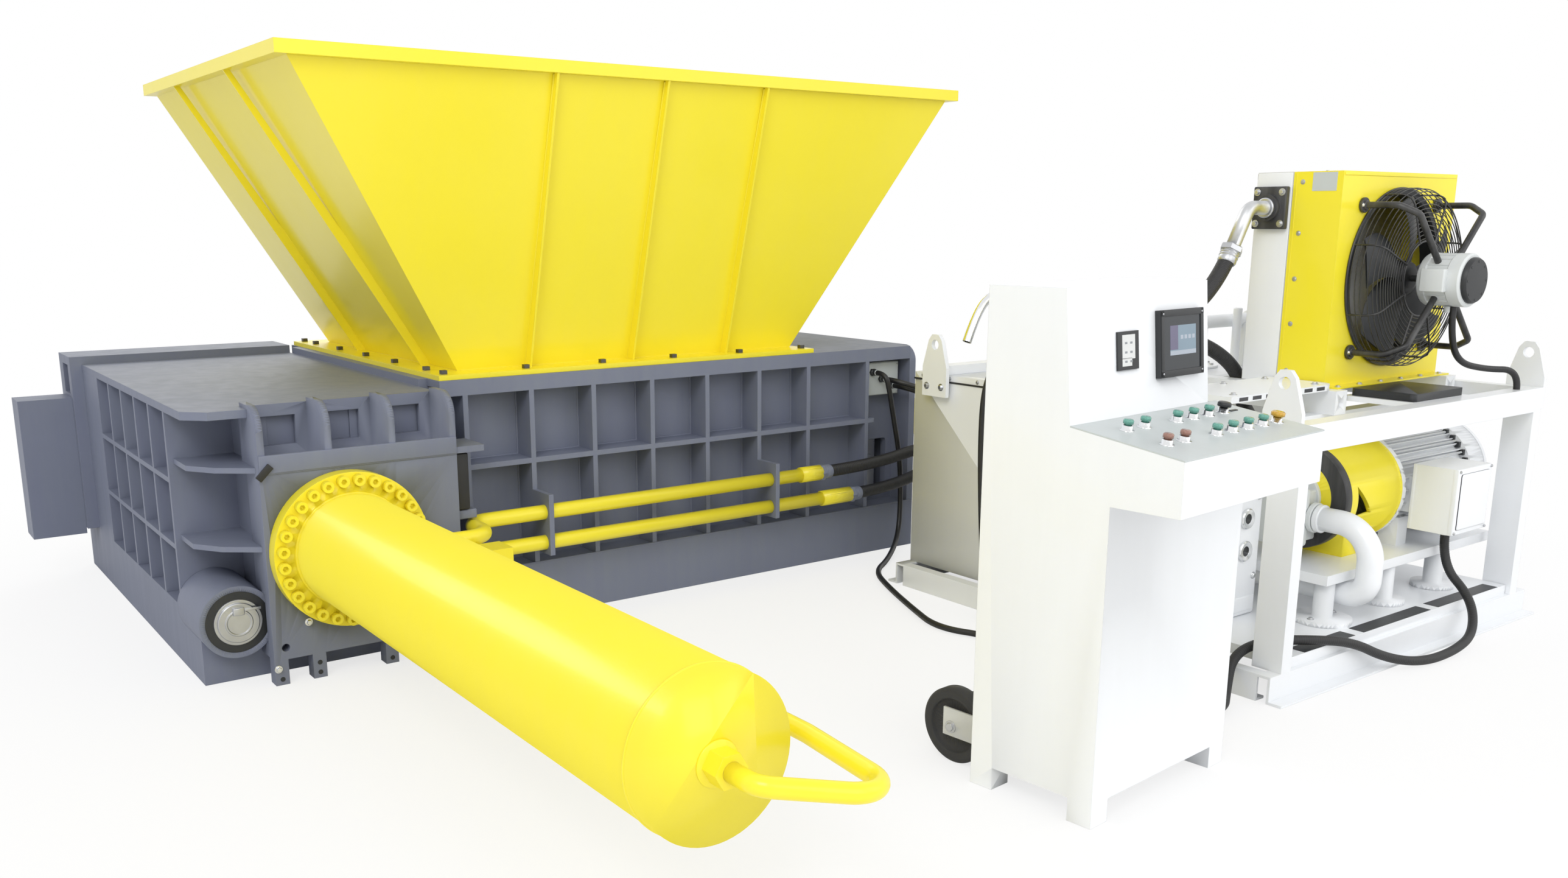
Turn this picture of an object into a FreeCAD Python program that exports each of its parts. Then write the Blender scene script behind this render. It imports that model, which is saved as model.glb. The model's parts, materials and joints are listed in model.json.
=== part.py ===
import FreeCAD, Part
import math
import operator
import os
import Sketcher

# A recycling baler: a two-way hydraulic press with a feed hopper, its power pack and its control
# console.  Millimetres, +Z up.  The origin is on the floor, below the crossing of the main ram's
# axis (along Y) and the feed ram's axis (along X).

SIZES = {
    # base and press chamber
    "base_top": 238, "base_front": 1010, "base_skirt": 20, "base_deck": 30,
    "base_sole": 20, "base_tunnel": 90, "base_web": 20,
    "press_left": 512, "press_right": 445, "press_top": 1015, "plate": 30,
    "chamber_half": 235, "chamber_ceiling": 735, "ceiling_plate": 40, "liner": 40,
    "wall_back": 452, "wall_sheet": 20, "wall_front": 750,
    "grid_rear": 530, "grid_rib": 22, "grid_row_1": 471, "grid_row_2": 727,
    "shelf_low": 500, "shelf_high": 790, "shelf_setback": 38,
    "running_gap": 2,
    # front bulkhead
    "bulk_front": 1168, "bulk_left": 302, "bulk_plate": 60, "bulk_side": 30, "bulk_foot": 95,
    "bulk_foot_width": 50, "pocket_floor": 790, "pocket_back": 985, "gusset_top": 1030,
    "gusset": 25, "gusset_round": 90, "ledge_right": 560, "window_margin": 45,
    # rear bulkhead and gate
    "rear_step": 79, "door_left": 563, "door_inner": 60, "door_slot": 131, "door_outer": 90,
    "door_top": 1052, "gate_top": 836, "gate_gap": 1, "gate_half": 265,
    "housing_left": 790, "housing_low": 210, "housing_high": 860,
    "housing_inset": 35, "housing_rear_inset": 65, "housing_sheet": 6,
    "gate_tube": 44, "gate_bore": 35, "gate_rod": 25, "gate_tube_length": 680, "gland_block": 60,
    # feed box
    "charge_half": 780, "feed_web": 169, "feed_sheet": 40, "feed_end": 3018, "end_plate": 40,
    "chord_top": 1045, "chord_lip": 64, "feed_rib": 22, "feed_rib_first": 576,
    "feed_rib_pitch": 295.2, "feed_rib_last": 2722, "feed_mid": 684, "end_round": 80,
    "mouth_left": 640, "mouth_right": 2350, "window_low": 300,
    "window_high": 560, "window_left": 2790, "window_right": 2980, "stripper": 30,
    # hopper
    "flange_left": 487, "flange_right": 2401, "flange_inset": 17, "flange_plate": 20,
    "throat_left": 647, "throat_right": 2332, "rim_left": 140, "rim_right": 3070,
    "rim_front": 1180, "rim_height": 2273, "rim_band": 48, "rim_lip": 22, "hopper_sheet": 12,
    "hopper_rib": 10, "hopper_rib_deep": 55, "front_rib_first": 930, "front_rib_pitch": 505,
    "side_rib_place": 260, "hopper_bolt": 8, "hopper_bolt_head": 12, "hopper_bolt_inset": 50,
    "hopper_bolt_edge": 22,
    # main cylinder and ram
    "axis_height": 487, "barrel": 210, "barrel_bore": 170, "barrel_end": 3587, "barrel_cap": 60,
    "flange_radius": 290, "flange_thick": 60, "bolt_circle": 262, "bolt_shank": 11,
    "bolt_head": 21, "bolt_head_high": 30, "bolt_socket": 11, "bolt_deep": 50,
    "ram_length": 220, "ram_retreat": 1005, "ram_rod": 100, "rod_end": 3320, "piston_length": 80,
    # feed cylinder and ram
    "feed_face": 2340, "feed_ram_length": 600, "feed_ram_wall": 30, "feed_face_plate": 50,
    "feed_barrel": 110, "feed_bore": 90, "feed_barrel_start": 2450, "feed_barrel_end": 4790,
    "feed_gland": 50, "feed_rod": 55, "feed_piston_end": 4700, "feed_flange": 170,
    "feed_flange_thick": 40, "feed_cap": 40,
    # lock cylinder in the lower left corner
    "lock_x": 395, "lock_height": 241, "lock_shroud": 135, "lock_shroud_bore": 115,
    "lock_front": 1080, "lock_body": 70, "lock_bar": 25, "lock_bar_end": 300,
    # rigid pipes
    "supply_radius": 31, "supply_reach": 101, "supply_high": 480, "supply_low": 350,
    "supply_high_end": 2230, "supply_low_end": 2360, "supply_start": 520, "return_radius": 25,
    "bracket_lip": 45, "bracket_low": 300, "bracket_high": 560, "fitting_radius": 37,
    "fitting_length": 120, "port_radius": 45, "port_reach": 235, "port_line": 1290,
    "block_left": 350, "block_right": 500, "block_front": 1520, "block_rear": 1400,
    "block_low": 350, "block_high": 480, "nut_radius": 46, "nut_length": 60,
    # junction box
    "junction_left": 2755, "junction_right": 2990, "junction_low": 800, "junction_high": 965,
    "junction_deep": 70, "gland_radius": 15, "gland_length": 40,
    # console
    "console_x": 1205, "console_y": 3684, "console_turn": 5.5, "console_width": 715,
    "console_depth": 430, "console_foot": 70, "console_foot_width": 80, "console_top": 1498,
    "console_sheet": 4, "panel_front_top": 172, "desk_front": 208, "desk_rear": 139,
    "desk_low": 1079, "desk_slope": 8, "apron_low": 930, "desk_width": 757, "desk_sheet": 4,
    "cable_entry": 60, "button_plate": 20, "button_plate_high": 3, "bezel_radius": 15,
    "bezel_high": 16, "bezel_bore": 11.5, "stem": 10.5, "stem_low": 5.5, "cap_low": 20.5,
    "cap_radius": 14.5, "cap_high": 12, "mushroom": 20,
    "button_pitch": 85, "back_row": 250, "front_row": 113, "back_left": 120,
    "back_right": 370, "front_left": 97, "front_right": 347,
    "screen_left": 425, "screen_width": 235, "screen_low": 1225, "screen_high": 195,
    "screen_deep": 18, "screen_border": 14, "legend_left": 225, "legend_width": 105,
    "legend_low": 1262, "legend_high": 108, "legend_deep": 6,
    "wheel_radius": 122, "wheel_width": 50, "wheel_line": 562, "wheel_left": 70,
    "wheel_right": 595, "wheel_gap": 3, "axle_radius": 12, "fork_plate": 8,
    # power pack frame
    "pack_left": 2478, "pack_right": 4393, "pack_front": 3419, "pack_rear": 1470,
    "rail_high": 100, "rail_web": 9, "rail_flange": 50, "post_width": 60, "post_deep": 117,
    "post_left": 2543, "post_right": 4310, "frame_top": 990, "beam_high": 100, "beam_deep": 70,
    "bearer_top": 1015, "bearer_left": 3300, "bearer_width": 80,
    "bearer_high": 95, "bearer_front": 3090, "cross_rail": 60, "lug_crown": 45, "lug_low": 900,
    "lug_width": 150, "lug_plate": 20, "lug_hole": 22, "lug_hole_height": 1130,
    "slab_left": 2650, "slab_right": 3350, "slab_front": 3060, "slab_rear": 2760,
    "slab_plate": 25, "slab_round": 70, "tray_left": 2606, "tray_right": 4247, "tray_front": 3400,
    "tray_rear": 2450, "tray_top": 140, "pedestal_disc": 85, "pedestal_disc_wide": 110,
    "pedestal_stem": 38, "bed_left": 3060, "bed_right": 4340, "bed_front": 3265,
    "bed_rear": 2685, "bed_low": 300, "bed_top": 340,
    # oil tank
    "tank_left": 2562, "tank_right": 4240, "tank_front": 2430, "tank_rear": 1478,
    "tank_high": 996, "tank_sheet": 6,
    # motor and pump set
    "motor_line": 2975, "motor_height": 580, "motor_start": 3680, "motor_end": 4380,
    "motor_body": 196, "motor_fin": 218, "fin_thick": 8, "motor_flange": 225,
    "flange_face": 28, "cowl_start": 4240, "cowl_radius": 230, "shaft": 28, "shaft_gap": 0.1,
    "fan_shaft": 14, "coupling": 70, "coupling_length": 150, "box_left": 3720, "box_right": 3990,
    "box_front": 3390, "box_rear": 3215, "box_low": 430, "box_high": 700,
    "bell_start": 3280, "bell_radius": 212, "bell_wall": 18,
    "pump_start": 3110, "pump_half": 115, "pump_low": 400, "pump_high": 640,
    "suction": 48, "suction_line": 3220, "suction_high": 520, "suction_low": 245,
    "suction_reach": 3340, "suction_bend": 75, "manifold_left": 2800, "manifold_right": 3010,
    "manifold_front": 3000, "manifold_deep": 80, "manifold_high": 700, "manifold_round": 60,
    # cooler and fan
    "cooler_left": 3360, "cooler_right": 4240, "cooler_top": 1860, "core_rear": 2630,
    "shroud_rear": 2790, "shroud_front": 3000, "shroud_sheet": 6, "fan_x": 3800,
    "fan_height": 1440, "fan_opening": 345, "guard_radius": 362, "guard_front": 3130,
    "guard_wire": 5, "fan_body": 105, "fan_cap": 90, "fan_body_front": 3320, "fan_body_rear": 3140,
    "fan_hub": 70, "blade_tip": 325, "blade_rear": 3010, "blade_front": 3080, "strut": 13,
    "strut_front": 3235, "pad_reach_x": 285, "pad_reach_z": 290, "pad_radius": 30,
    "elbow_radius": 28, "elbow_plate": 160, "elbow_line": 2710, "elbow_height": 1720,
    "hose": 29, "cooler_hose": 32, "tank_hose": 30, "cable": 13, "conduit": 18,
    "port_wall": 12, "cable_port": 20, "port_rise": 20, "console_port_length": 32,
    "console_port_first": 220, "console_port_pitch": 110, "console_port_height": 175,
    "switch_left": 3420, "switch_right": 3800, "switch_front": 3340, "switch_rear": 3080,
    "switch_high": 30,
}

doc = FreeCAD.newDocument("recycling_baler")
sheet = doc.addObject("Spreadsheet::Sheet", "Sizes")
for row, (alias, number) in enumerate(SIZES.items(), 1):
    sheet.set(f"A{row}", alias)
    sheet.set(f"B{row}", str(number))
    sheet.setAlias(f"B{row}", alias)
doc.recompute()

OPERATIONS = {"+": operator.add, "-": operator.sub, "*": operator.mul, "/": operator.truediv}


class Formula:
    """A length worked out from the sheet: its text binds objects, its value places free shapes."""

    def __init__(self, text, value):
        self.text = text
        self.value = value

    def join(self, sign, first, second):
        first, second = formula(first), formula(second)
        value = OPERATIONS[sign](first.value, second.value)
        return Formula(f"({first.text} {sign} {second.text})", value)

    def __add__(self, other):
        return self.join("+", self, other)

    def __radd__(self, other):
        return self.join("+", other, self)

    def __sub__(self, other):
        return self.join("-", self, other)

    def __rsub__(self, other):
        return self.join("-", other, self)

    def __mul__(self, other):
        return self.join("*", self, other)

    def __rmul__(self, other):
        return self.join("*", other, self)

    def __truediv__(self, other):
        return self.join("/", self, other)

    def __neg__(self):
        return self.join("-", 0, self)


def formula(value):
    """A number or a formula, as a formula."""
    return value if isinstance(value, Formula) else Formula(repr(float(value)), float(value))


class Sheet:
    """Reads a size from the sheet by its alias, as a formula."""

    def __getattr__(self, alias):
        return Formula(f"Sizes.{alias}", float(sheet.get(alias)))


s = Sheet()
V = FreeCAD.Vector
TURN = {"x": FreeCAD.Rotation(V(0, 1, 0), 90), "y": FreeCAD.Rotation(V(1, 0, 0), -90),
        "z": FreeCAD.Rotation()}
SUBPARTS = []


def bind(thing, path, value):
    """Ties one property of an object to a formula on the sheet."""
    thing.setExpression(path, formula(value).text)


def slab(name, x, y, z):
    """A block between two planes on each axis."""
    block = doc.addObject("Part::Box", name)
    for side, base, (low, high) in (("Length", "x", x), ("Width", "y", y), ("Height", "z", z)):
        bind(block, side, formula(high) - low)
        bind(block, "Placement.Base." + base, low)
    return block


def rod(name, axis, radius, start, end, across, kind="Part::Cylinder"):
    """A round bar along one axis from start to end; across is its centre on the other two."""
    bar = doc.addObject(kind, name)
    bar.Placement = FreeCAD.Placement(V(), TURN[axis])
    place = dict(zip([side for side in "xyz" if side != axis], across))
    place[axis] = start
    for base, value in place.items():
        bind(bar, "Placement.Base." + base, value)
    bind(bar, "Height", formula(end) - start)
    if kind == "Part::Prism":
        bar.Polygon = 6
        bind(bar, "Circumradius", radius)
    else:
        bind(bar, "Radius", radius)
    return bar


def fuse(name, *parts):
    """One solid from pieces that are welded or cast together."""
    if len(parts) == 1:
        return parts[0]
    joined = doc.addObject("Part::MultiFuse", name)
    joined.Shapes = list(parts)
    joined.Refine = True
    return joined


def cut(name, base, *tools):
    """The base with the tools' space taken away."""
    result = doc.addObject("Part::Cut", name)
    result.Base = base
    result.Tool = fuse(name + "_tools", *tools)
    result.Refine = True
    return result


def group(name, *parts):
    """Separate solids that share one sub-part."""
    together = doc.addObject("Part::Compound", name)
    together.Links = list(parts)
    return together


def tube(name, axis, outer, inner, start, end, across):
    """A pipe wall between two radii."""
    return cut(name, rod(name + "_outer", axis, outer, start, end, across),
               rod(name + "_inner", axis, inner, formula(start) - 1, formula(end) + 1, across))


def subpart(label, thing):
    """Names the finished object of a sub-part."""
    thing.Label = label
    SUBPARTS.append(thing)
    return thing


def free_shape(name, shape, placement=None):
    """A shape made with Part's own functions, for routes and turned pieces."""
    feature = doc.addObject("Part::Feature", name)
    feature.Shape = shape
    if placement is not None:
        feature.Placement = placement
    return feature


def origin_plane(body, role):
    return next(item for item in body.Origin.OriginFeatures if item.Role == role + "_Plane")


def outline(body, plane, points, offset=0):
    """A closed outline through points whose coordinates are formulas."""
    sketch = body.newObject("Sketcher::SketchObject", "outline")
    sketch.AttachmentSupport = (origin_plane(body, plane), [""])
    sketch.MapMode = "FlatFace"
    bind(sketch, "AttachmentOffset.Base.z", offset)
    spots = [V(formula(u).value, formula(v).value, 0) for u, v in points]
    count = len(points)
    for k in range(count):
        sketch.addGeometry(Part.LineSegment(spots[k], spots[(k + 1) % count]), False)
    for k in range(count):
        sketch.addConstraint(Sketcher.Constraint("Coincident", k, 2, (k + 1) % count, 1))
    for k, point in enumerate(points):
        for kind, value in zip(("DistanceX", "DistanceY"), point):
            value = formula(value)
            constraint = Sketcher.Constraint(kind, -1, 1, k, 1, value.value)
            number = sketch.addConstraint(constraint)
            bind(sketch, f"Constraints[{number}]", value)
    return sketch


def pad(name, plane, points, low, high):
    """A plate with an outline in one plane, from low to high along the third axis."""
    body = doc.addObject("PartDesign::Body", name)
    sketch = outline(body, plane, points, -formula(high) if plane == "XZ" else low)
    feature = body.newObject("PartDesign::Pad", name + "_pad")
    feature.Profile = sketch
    bind(feature, "Length", formula(high) - low)
    return body


def route(points, bends):
    """Straight runs through the points, joined by tangent arcs of the radii in bends."""
    points = [V(*[formula(c).value for c in point]) for point in points]
    edges, start = [], points[0]
    for before, corner, after, radius in zip(points, points[1:], points[2:], bends):
        back, ahead = (before - corner).normalize(), (after - corner).normalize()
        half = back.getAngle(ahead) / 2
        step = radius / math.tan(half)
        first, last = corner + back * step, corner + ahead * step
        middle = corner + (back + ahead).normalize() * (radius / math.sin(half) - radius)
        edges += [Part.LineSegment(start, first).toShape(), Part.Arc(first, middle, last).toShape()]
        start = last
    edges.append(Part.LineSegment(start, points[-1]).toShape())
    return Part.Wire(edges)


def pipe(points, bends, radius):
    """A solid round pipe along a route."""
    line = route(points, bends)
    begin = line.Edges[0]
    circle = Part.Wire([Part.makeCircle(formula(radius).value, begin.valueAt(begin.FirstParameter),
                                        begin.tangentAt(begin.FirstParameter))])
    return line.makePipeShell([circle], True, False)


def cord(name, points, radius):
    """A free hose or cable: each arc is as large as its two runs allow."""
    spots = [V(*[formula(c).value for c in point]) for point in points]
    bends = []
    for before, corner, after in zip(spots, spots[1:], spots[2:]):
        turn = math.pi - (before - corner).getAngle(after - corner)
        shorter = min((before - corner).Length, (after - corner).Length)
        bends.append(0.45 * shorter / math.tan(turn / 2))
    shape = pipe(points, bends, radius)
    length = route(points, bends).Length
    section = math.pi * formula(radius).value ** 2
    print(f"{name}: length {length:.0f}, radii {min(bends):.0f} to {max(bends):.0f},"
          f" volume / (section x length) {shape.Volume / (section * length):.4f}")
    return shape


def cells(low, high, count, wall):
    """The equal spaces between count + 1 webs that stand from low to high."""
    pitch = (formula(high) - low - wall) / count
    return [(low + pitch * k + wall, low + pitch * (k + 1)) for k in range(count)]


def rounded(name, x, y, z, axis, radius, corners):
    """A plate with some corners rounded; a corner is named by its low (0) or high (1) sides."""
    spans = {"x": x, "y": y, "z": z}
    across = [side for side in "xyz" if side != axis]
    low, high = spans[axis]
    trims = []
    for number, sides in enumerate(corners):
        space, centre = {axis: (formula(low) - 1, formula(high) + 1)}, []
        for line, side in zip(across, sides):
            edge = formula(spans[line][side])
            middle = edge - radius if side else edge + radius
            space[line] = (middle, edge + 1) if side else (edge - 1, middle)
            centre.append(middle)
        post = rod(f"{name}_round_{number}", axis, radius, formula(low) - 2, formula(high) + 2,
                   centre)
        trims.append(cut(f"{name}_corner_{number}",
                         slab(f"{name}_square_{number}", space["x"], space["y"], space["z"]), post))
    return cut(name, slab(name + "_blank", x, y, z), *trims)


def ring_of(count, radius, height):
    """Centres of a circle of holes or bolts round the point (0, height)."""
    for k in range(count):
        turn = 2 * math.pi * (k + 0.5) / count
        yield radius * round(math.cos(turn), 6), height + radius * round(math.sin(turn), 6)


def frustum(name, low_x, low_y, high_x, high_y, z):
    """A block whose plan changes evenly from one rectangle to another."""
    block = doc.addObject("Part::Wedge", name)
    block.Placement = FreeCAD.Placement(V(), FreeCAD.Rotation(V(1, 0, 0), 90))
    values = {"Xmin": low_x[0], "Xmax": low_x[1], "X2min": high_x[0], "X2max": high_x[1],
              "Zmin": -formula(low_y[1]), "Zmax": -formula(low_y[0]),
              "Z2min": -formula(high_y[1]), "Z2max": -formula(high_y[0]),
              "Ymin": z[0], "Ymax": z[1]}
    for side, value in values.items():
        bind(block, side, value)
    return block


def turned(name, axis, points, across):
    """A turned piece: (radius, place along the axis) points spun about that axis."""
    body = doc.addObject("PartDesign::Body", name)
    sketch = outline(body, "XZ", points)
    feature = body.newObject("PartDesign::Revolution", name + "_turn")
    feature.Profile = sketch
    feature.ReferenceAxis = (sketch, ["V_Axis"])
    feature.Angle = 360
    body.Placement = FreeCAD.Placement(V(), TURN[axis])
    for base, value in zip([side for side in "xyz" if side != axis], across):
        bind(body, "Placement.Base." + base, value)
    return body


# The feed box's walls stand outside the space that the scrap fills, the hopper's flange lies on
# their tops, and the supply pipes run along the front one.  The press ends just inside the rear
# one, and the gate's two plates and slot stand behind that.
feed_half = s.charge_half + s.feed_web
flange_half = feed_half - s.flange_inset
supply_line = feed_half + s.supply_reach
wall_rear = feed_half - s.rear_step
slot_front = wall_rear + s.door_inner
slot_rear = slot_front + s.door_slot
base_rear = slot_rear + s.door_outer

# ------------------------------------------------------------------ base of the press
deck_low = s.base_top - s.base_deck
press_base = slab("press_base", (-s.press_left, s.press_right), (-s.base_front, base_rear),
                  (0, s.base_top))
rows = cells(-s.base_front, base_rear, 4, s.base_skirt)
columns = [(-s.press_left + s.base_skirt, -s.base_tunnel - s.base_web),
           (s.base_tunnel + s.base_web, s.press_right - s.base_skirt)]
hollows = [slab("press_pocket", column, row, (0, deck_low)) for column in columns for row in rows]
hollows.append(slab("base_tunnel_space", (-s.base_tunnel, s.base_tunnel),
                    (-s.base_front + s.base_skirt, base_rear), (s.base_sole, deck_low)))


def lock_seat(name):
    """The space that the lock cylinder's shroud takes up."""
    return rod(name, "y", s.lock_shroud, -s.bulk_front + s.bulk_plate, -s.wall_front - 2,
               (-s.lock_x, s.lock_height))


def lock_bar_path(name, clearance):
    """The space that the lock bar slides in."""
    return rod(name, "y", s.lock_bar + clearance, -s.wall_front - 2, -s.lock_bar_end + 240,
               (-s.lock_x, s.lock_height))


hollows += [lock_seat("base_lock_seat"), lock_bar_path("base_lock_groove", 3)]
press_base = cut("press_base_hollow", press_base, *hollows)
feed_base = slab("feed_base", (s.press_right, s.feed_end + s.end_plate),
                 (-feed_half, feed_half), (0, s.base_top))
hollows = [slab("feed_pocket", column, row, (0, deck_low))
           for column in cells(s.press_right, s.feed_end + s.end_plate, 5, s.base_skirt)
           for row in cells(-feed_half, feed_half, 4, s.base_skirt)]
feed_base = cut("feed_base_hollow", feed_base, *hollows)
subpart("base_frame", group("base_pair", press_base, feed_base))

# ------------------------------------------------------------------ chamber wall on the left
inner_face = -s.chamber_half - s.liner
sheet_top = s.press_top - s.plate
pieces = [slab("chamber_liner", (inner_face, -s.chamber_half), (-s.base_front, wall_rear),
               (s.base_top, sheet_top)),
          slab("chamber_backing", (-s.wall_back, -s.wall_back + s.wall_sheet),
               (-s.wall_front, wall_rear), (s.base_top, sheet_top)),
          slab("chamber_rear_panel", (-s.press_left, -s.press_left + s.wall_sheet),
               (s.grid_rear, wall_rear), (s.base_top, sheet_top))]
for k in range(6):
    start = -s.wall_front + (s.grid_rear + s.wall_front) / 5 * k
    pieces.append(slab("chamber_rib", (-s.press_left, inner_face), (start, start + s.grid_rib),
                       (s.base_top, sheet_top)))
for height in (s.grid_row_1, s.grid_row_2):
    pieces.append(slab("chamber_cross_rib", (-s.press_left, -s.wall_back),
                       (-s.wall_front, s.grid_rear), (height - s.wall_sheet / 2,
                                                      height + s.wall_sheet / 2)))
shelf_nose = -s.bulk_front + s.shelf_setback
shelf = [(-s.bulk_left, shelf_nose), (-s.bulk_left, -s.base_front),
         (inner_face, -s.base_front), (inner_face, -s.wall_front),
         (-s.press_left + s.wall_sheet, -s.wall_front),
         (-s.press_left + s.wall_sheet, -s.base_front + 80), (-s.bulk_left - 118, -s.base_front - 30)]
for low in (s.shelf_low, s.shelf_high):
    pieces.append(pad("corner_shelf", "XY", shelf, low, low + s.wall_sheet))
pocket_notch = slab("wall_pocket_notch", (-s.bulk_left, -s.chamber_half),
                    (-s.base_front - 1, -s.pocket_back + s.gusset),
                    (s.pocket_floor, sheet_top + 1))
wall = cut("chamber_wall_cut", fuse("chamber_wall_whole", *pieces), lock_seat("wall_lock_seat"),
           lock_bar_path("wall_lock_hole", 5), pocket_notch)
subpart("chamber_wall", wall)

# ------------------------------------------------------------------ chamber top
ceiling = s.chamber_ceiling + s.ceiling_plate
tongue_front = -s.base_front - 67
tongue = [(-s.press_left, -s.pocket_back + 25), (-s.press_left, tongue_front + 75),
          (-s.press_left + 75, tongue_front), (-s.bulk_left, tongue_front),
          (-s.bulk_left, -s.pocket_back + 25)]
pieces = [slab("top_sheet", (-s.press_left, s.press_right), (-s.pocket_back + 25, wall_rear),
               (sheet_top, s.press_top)),
          pad("top_tongue", "XY", tongue, sheet_top, s.press_top),
          slab("chamber_roof", (-s.chamber_half, s.press_right), (-s.base_front, wall_rear),
               (s.chamber_ceiling, ceiling)),
          slab("charge_roof", (s.press_right, s.mouth_left), (-s.charge_half, s.charge_half),
               (s.chamber_ceiling, ceiling)),
          slab("roof_web_right", (s.press_right, s.press_right + s.plate),
               (-s.charge_half, s.charge_half), (ceiling, s.press_top)),
          slab("shear_web", (s.mouth_left - s.plate, s.mouth_left),
               (-s.charge_half, s.charge_half), (s.chamber_ceiling, s.press_top)),
          slab("cross_bar", (s.press_right, s.mouth_left), (-s.charge_half, s.charge_half),
               (s.press_top, s.chord_top))]
for left in (-s.chamber_half, s.press_right / 2 - 117.5, s.press_right - s.plate):
    pieces.append(slab("roof_web", (left, left + s.plate), (-s.pocket_back + 25, wall_rear),
                       (ceiling, sheet_top)))
roof = fuse("chamber_top_whole", *pieces)


def flange_bolts(kind, side):
    """Centres of the hopper's bolts on one side: the long sides, the left or the right one."""
    left, right = s.flange_left + 40, s.flange_right - s.hopper_bolt_edge
    line = flange_half - s.hopper_bolt_inset
    if kind == "long":
        span = (s.flange_right - 80 - s.flange_left) / 5
        return [(s.flange_left + 40 + span * k, line * side) for k in range(6)]
    return [(left if side < 0 else right, line * 0.8 / 2 * k) for k in range(-2, 3)]


def bolt_holes(name, kind, side):
    """Blind holes for the hopper's bolts in the plate under its flange."""
    return [rod(name, "z", s.hopper_bolt + 0.5, s.chord_top - 20, s.chord_top + 1, centre)
            for centre in flange_bolts(kind, side)]


subpart("chamber_top", cut("chamber_top_drilled", roof, *bolt_holes("bar_hole", "short", -1)))

# ------------------------------------------------------------------ front bulkhead
front = -s.bulk_front
face_rear = front + s.bulk_plate
side_rear = -s.base_front - s.plate
pieces = [slab("bulk_face", (-s.bulk_left, s.press_right), (front, face_rear),
               (s.bulk_foot, s.pocket_floor)),
          slab("bulk_back", (-s.bulk_left, s.press_right), (side_rear, -s.base_front),
               (s.bulk_foot, s.pocket_floor)),
          slab("bulk_side_left", (-s.bulk_left, -s.bulk_left + s.bulk_side), (face_rear, side_rear),
               (s.bulk_foot, s.pocket_floor)),
          slab("bulk_side_right", (s.press_right - s.bulk_side, s.press_right),
               (face_rear, side_rear), (s.bulk_foot, s.pocket_floor)),
          slab("bulk_floor", (-s.bulk_left, s.ledge_right), (front, -s.pocket_back),
               (s.pocket_floor, s.pocket_floor + s.gusset)),
          slab("bulk_pocket_back", (-s.bulk_left, s.press_right),
               (-s.pocket_back, -s.pocket_back + s.gusset), (s.pocket_floor, s.press_top))]
bays = (s.press_right + s.bulk_left - s.gusset) / 3
for k in range(4):
    left = -s.bulk_left + bays * k
    pieces.append(rounded("bulk_gusset", (left, left + s.gusset), (front, -s.pocket_back),
                          (s.pocket_floor, s.gusset_top), "x", s.gusset_round, [(0, 1)]))
foot_pitch = (s.press_right + s.bulk_left - s.bulk_foot_width) / 5
for k in (0, 1, 3, 5):
    left = -s.bulk_left + foot_pitch * k
    pieces.append(slab("bulk_foot", (left, left + s.bulk_foot_width), (front, face_rear),
                       (0, s.bulk_foot)))
openings = [rod("rod_passage", "y", s.ram_rod + 5, front - 1, -s.base_front + 1,
                (0, s.axis_height)),
            lock_seat("bulk_lock_seat")]
for x, z in ring_of(28, s.bolt_circle, s.axis_height):
    openings.append(rod("bulk_bolt_hole", "y", s.bolt_shank + 0.5, front - 1,
                        front + s.bolt_deep, (x, z)))
for k in range(3):
    left = -s.bulk_left + bays * k + s.gusset
    openings.append(slab("pocket_window", (left + s.window_margin, left + bays - s.gusset
                                           - s.window_margin),
                         (-s.pocket_back - 1, -s.pocket_back + s.gusset + 1),
                         (s.pocket_floor + 70, s.press_top - s.window_margin)))
openings.append(rod("bulk_drain", "y", 15, front - 1, face_rear + 1,
                    (-s.bulk_left + 45, s.bulk_foot + 45)))
subpart("front_bulkhead", cut("front_bulkhead_cut", fuse("bulkhead_whole", *pieces), *openings))

# ------------------------------------------------------------------ rear bulkhead and gate
pieces = [slab("door_plate_inner", (-s.door_left, s.press_right), (wall_rear, slot_front),
               (s.base_top, s.door_top)),
          slab("door_plate_outer", (-s.door_left, s.press_right), (slot_rear, base_rear),
               (s.base_top, s.door_top)),
          slab("door_guide", (-s.door_left, s.press_right), (slot_front, slot_rear),
               (s.gate_top, s.gate_top + s.liner)),
          slab("door_head", (-s.door_left, s.press_right), (slot_front, slot_rear),
               (s.door_top - s.liner, s.door_top))]
mouth = slab("bale_mouth", (-s.chamber_half, s.chamber_half), (wall_rear - 1, base_rear + 1),
             (s.base_top - 1, s.chamber_ceiling))
subpart("rear_bulkhead", cut("rear_bulkhead_cut", fuse("door_whole", *pieces), mouth))

gate_line = (slot_front + slot_rear) / 2
gate_axis = (gate_line, s.axis_height + 50)
tube_end = s.press_right + s.gate_tube_length
piston_left = tube_end - 110
subpart("gate", group("gate_pair", slab(
    "gate_plate", (-s.gate_half, s.gate_half), (slot_front + s.gate_gap, slot_rear - s.gate_gap),
    (s.base_top + s.running_gap, s.gate_top - s.running_gap)),
    rod("gate_rod_bar", "x", s.gate_rod, s.gate_half, piston_left, gate_axis),
    rod("gate_piston", "x", s.gate_bore - 0.5, piston_left, piston_left + 40, gate_axis)))
block_left = s.press_right - s.gland_block
body = fuse("gate_cylinder_whole",
            slab("gate_gland", (block_left, s.press_right), (slot_front, slot_rear),
                 (s.axis_height - 27, s.axis_height + 127)),
            rod("gate_tube_outer", "x", s.gate_tube, s.press_right, tube_end, gate_axis))
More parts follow.
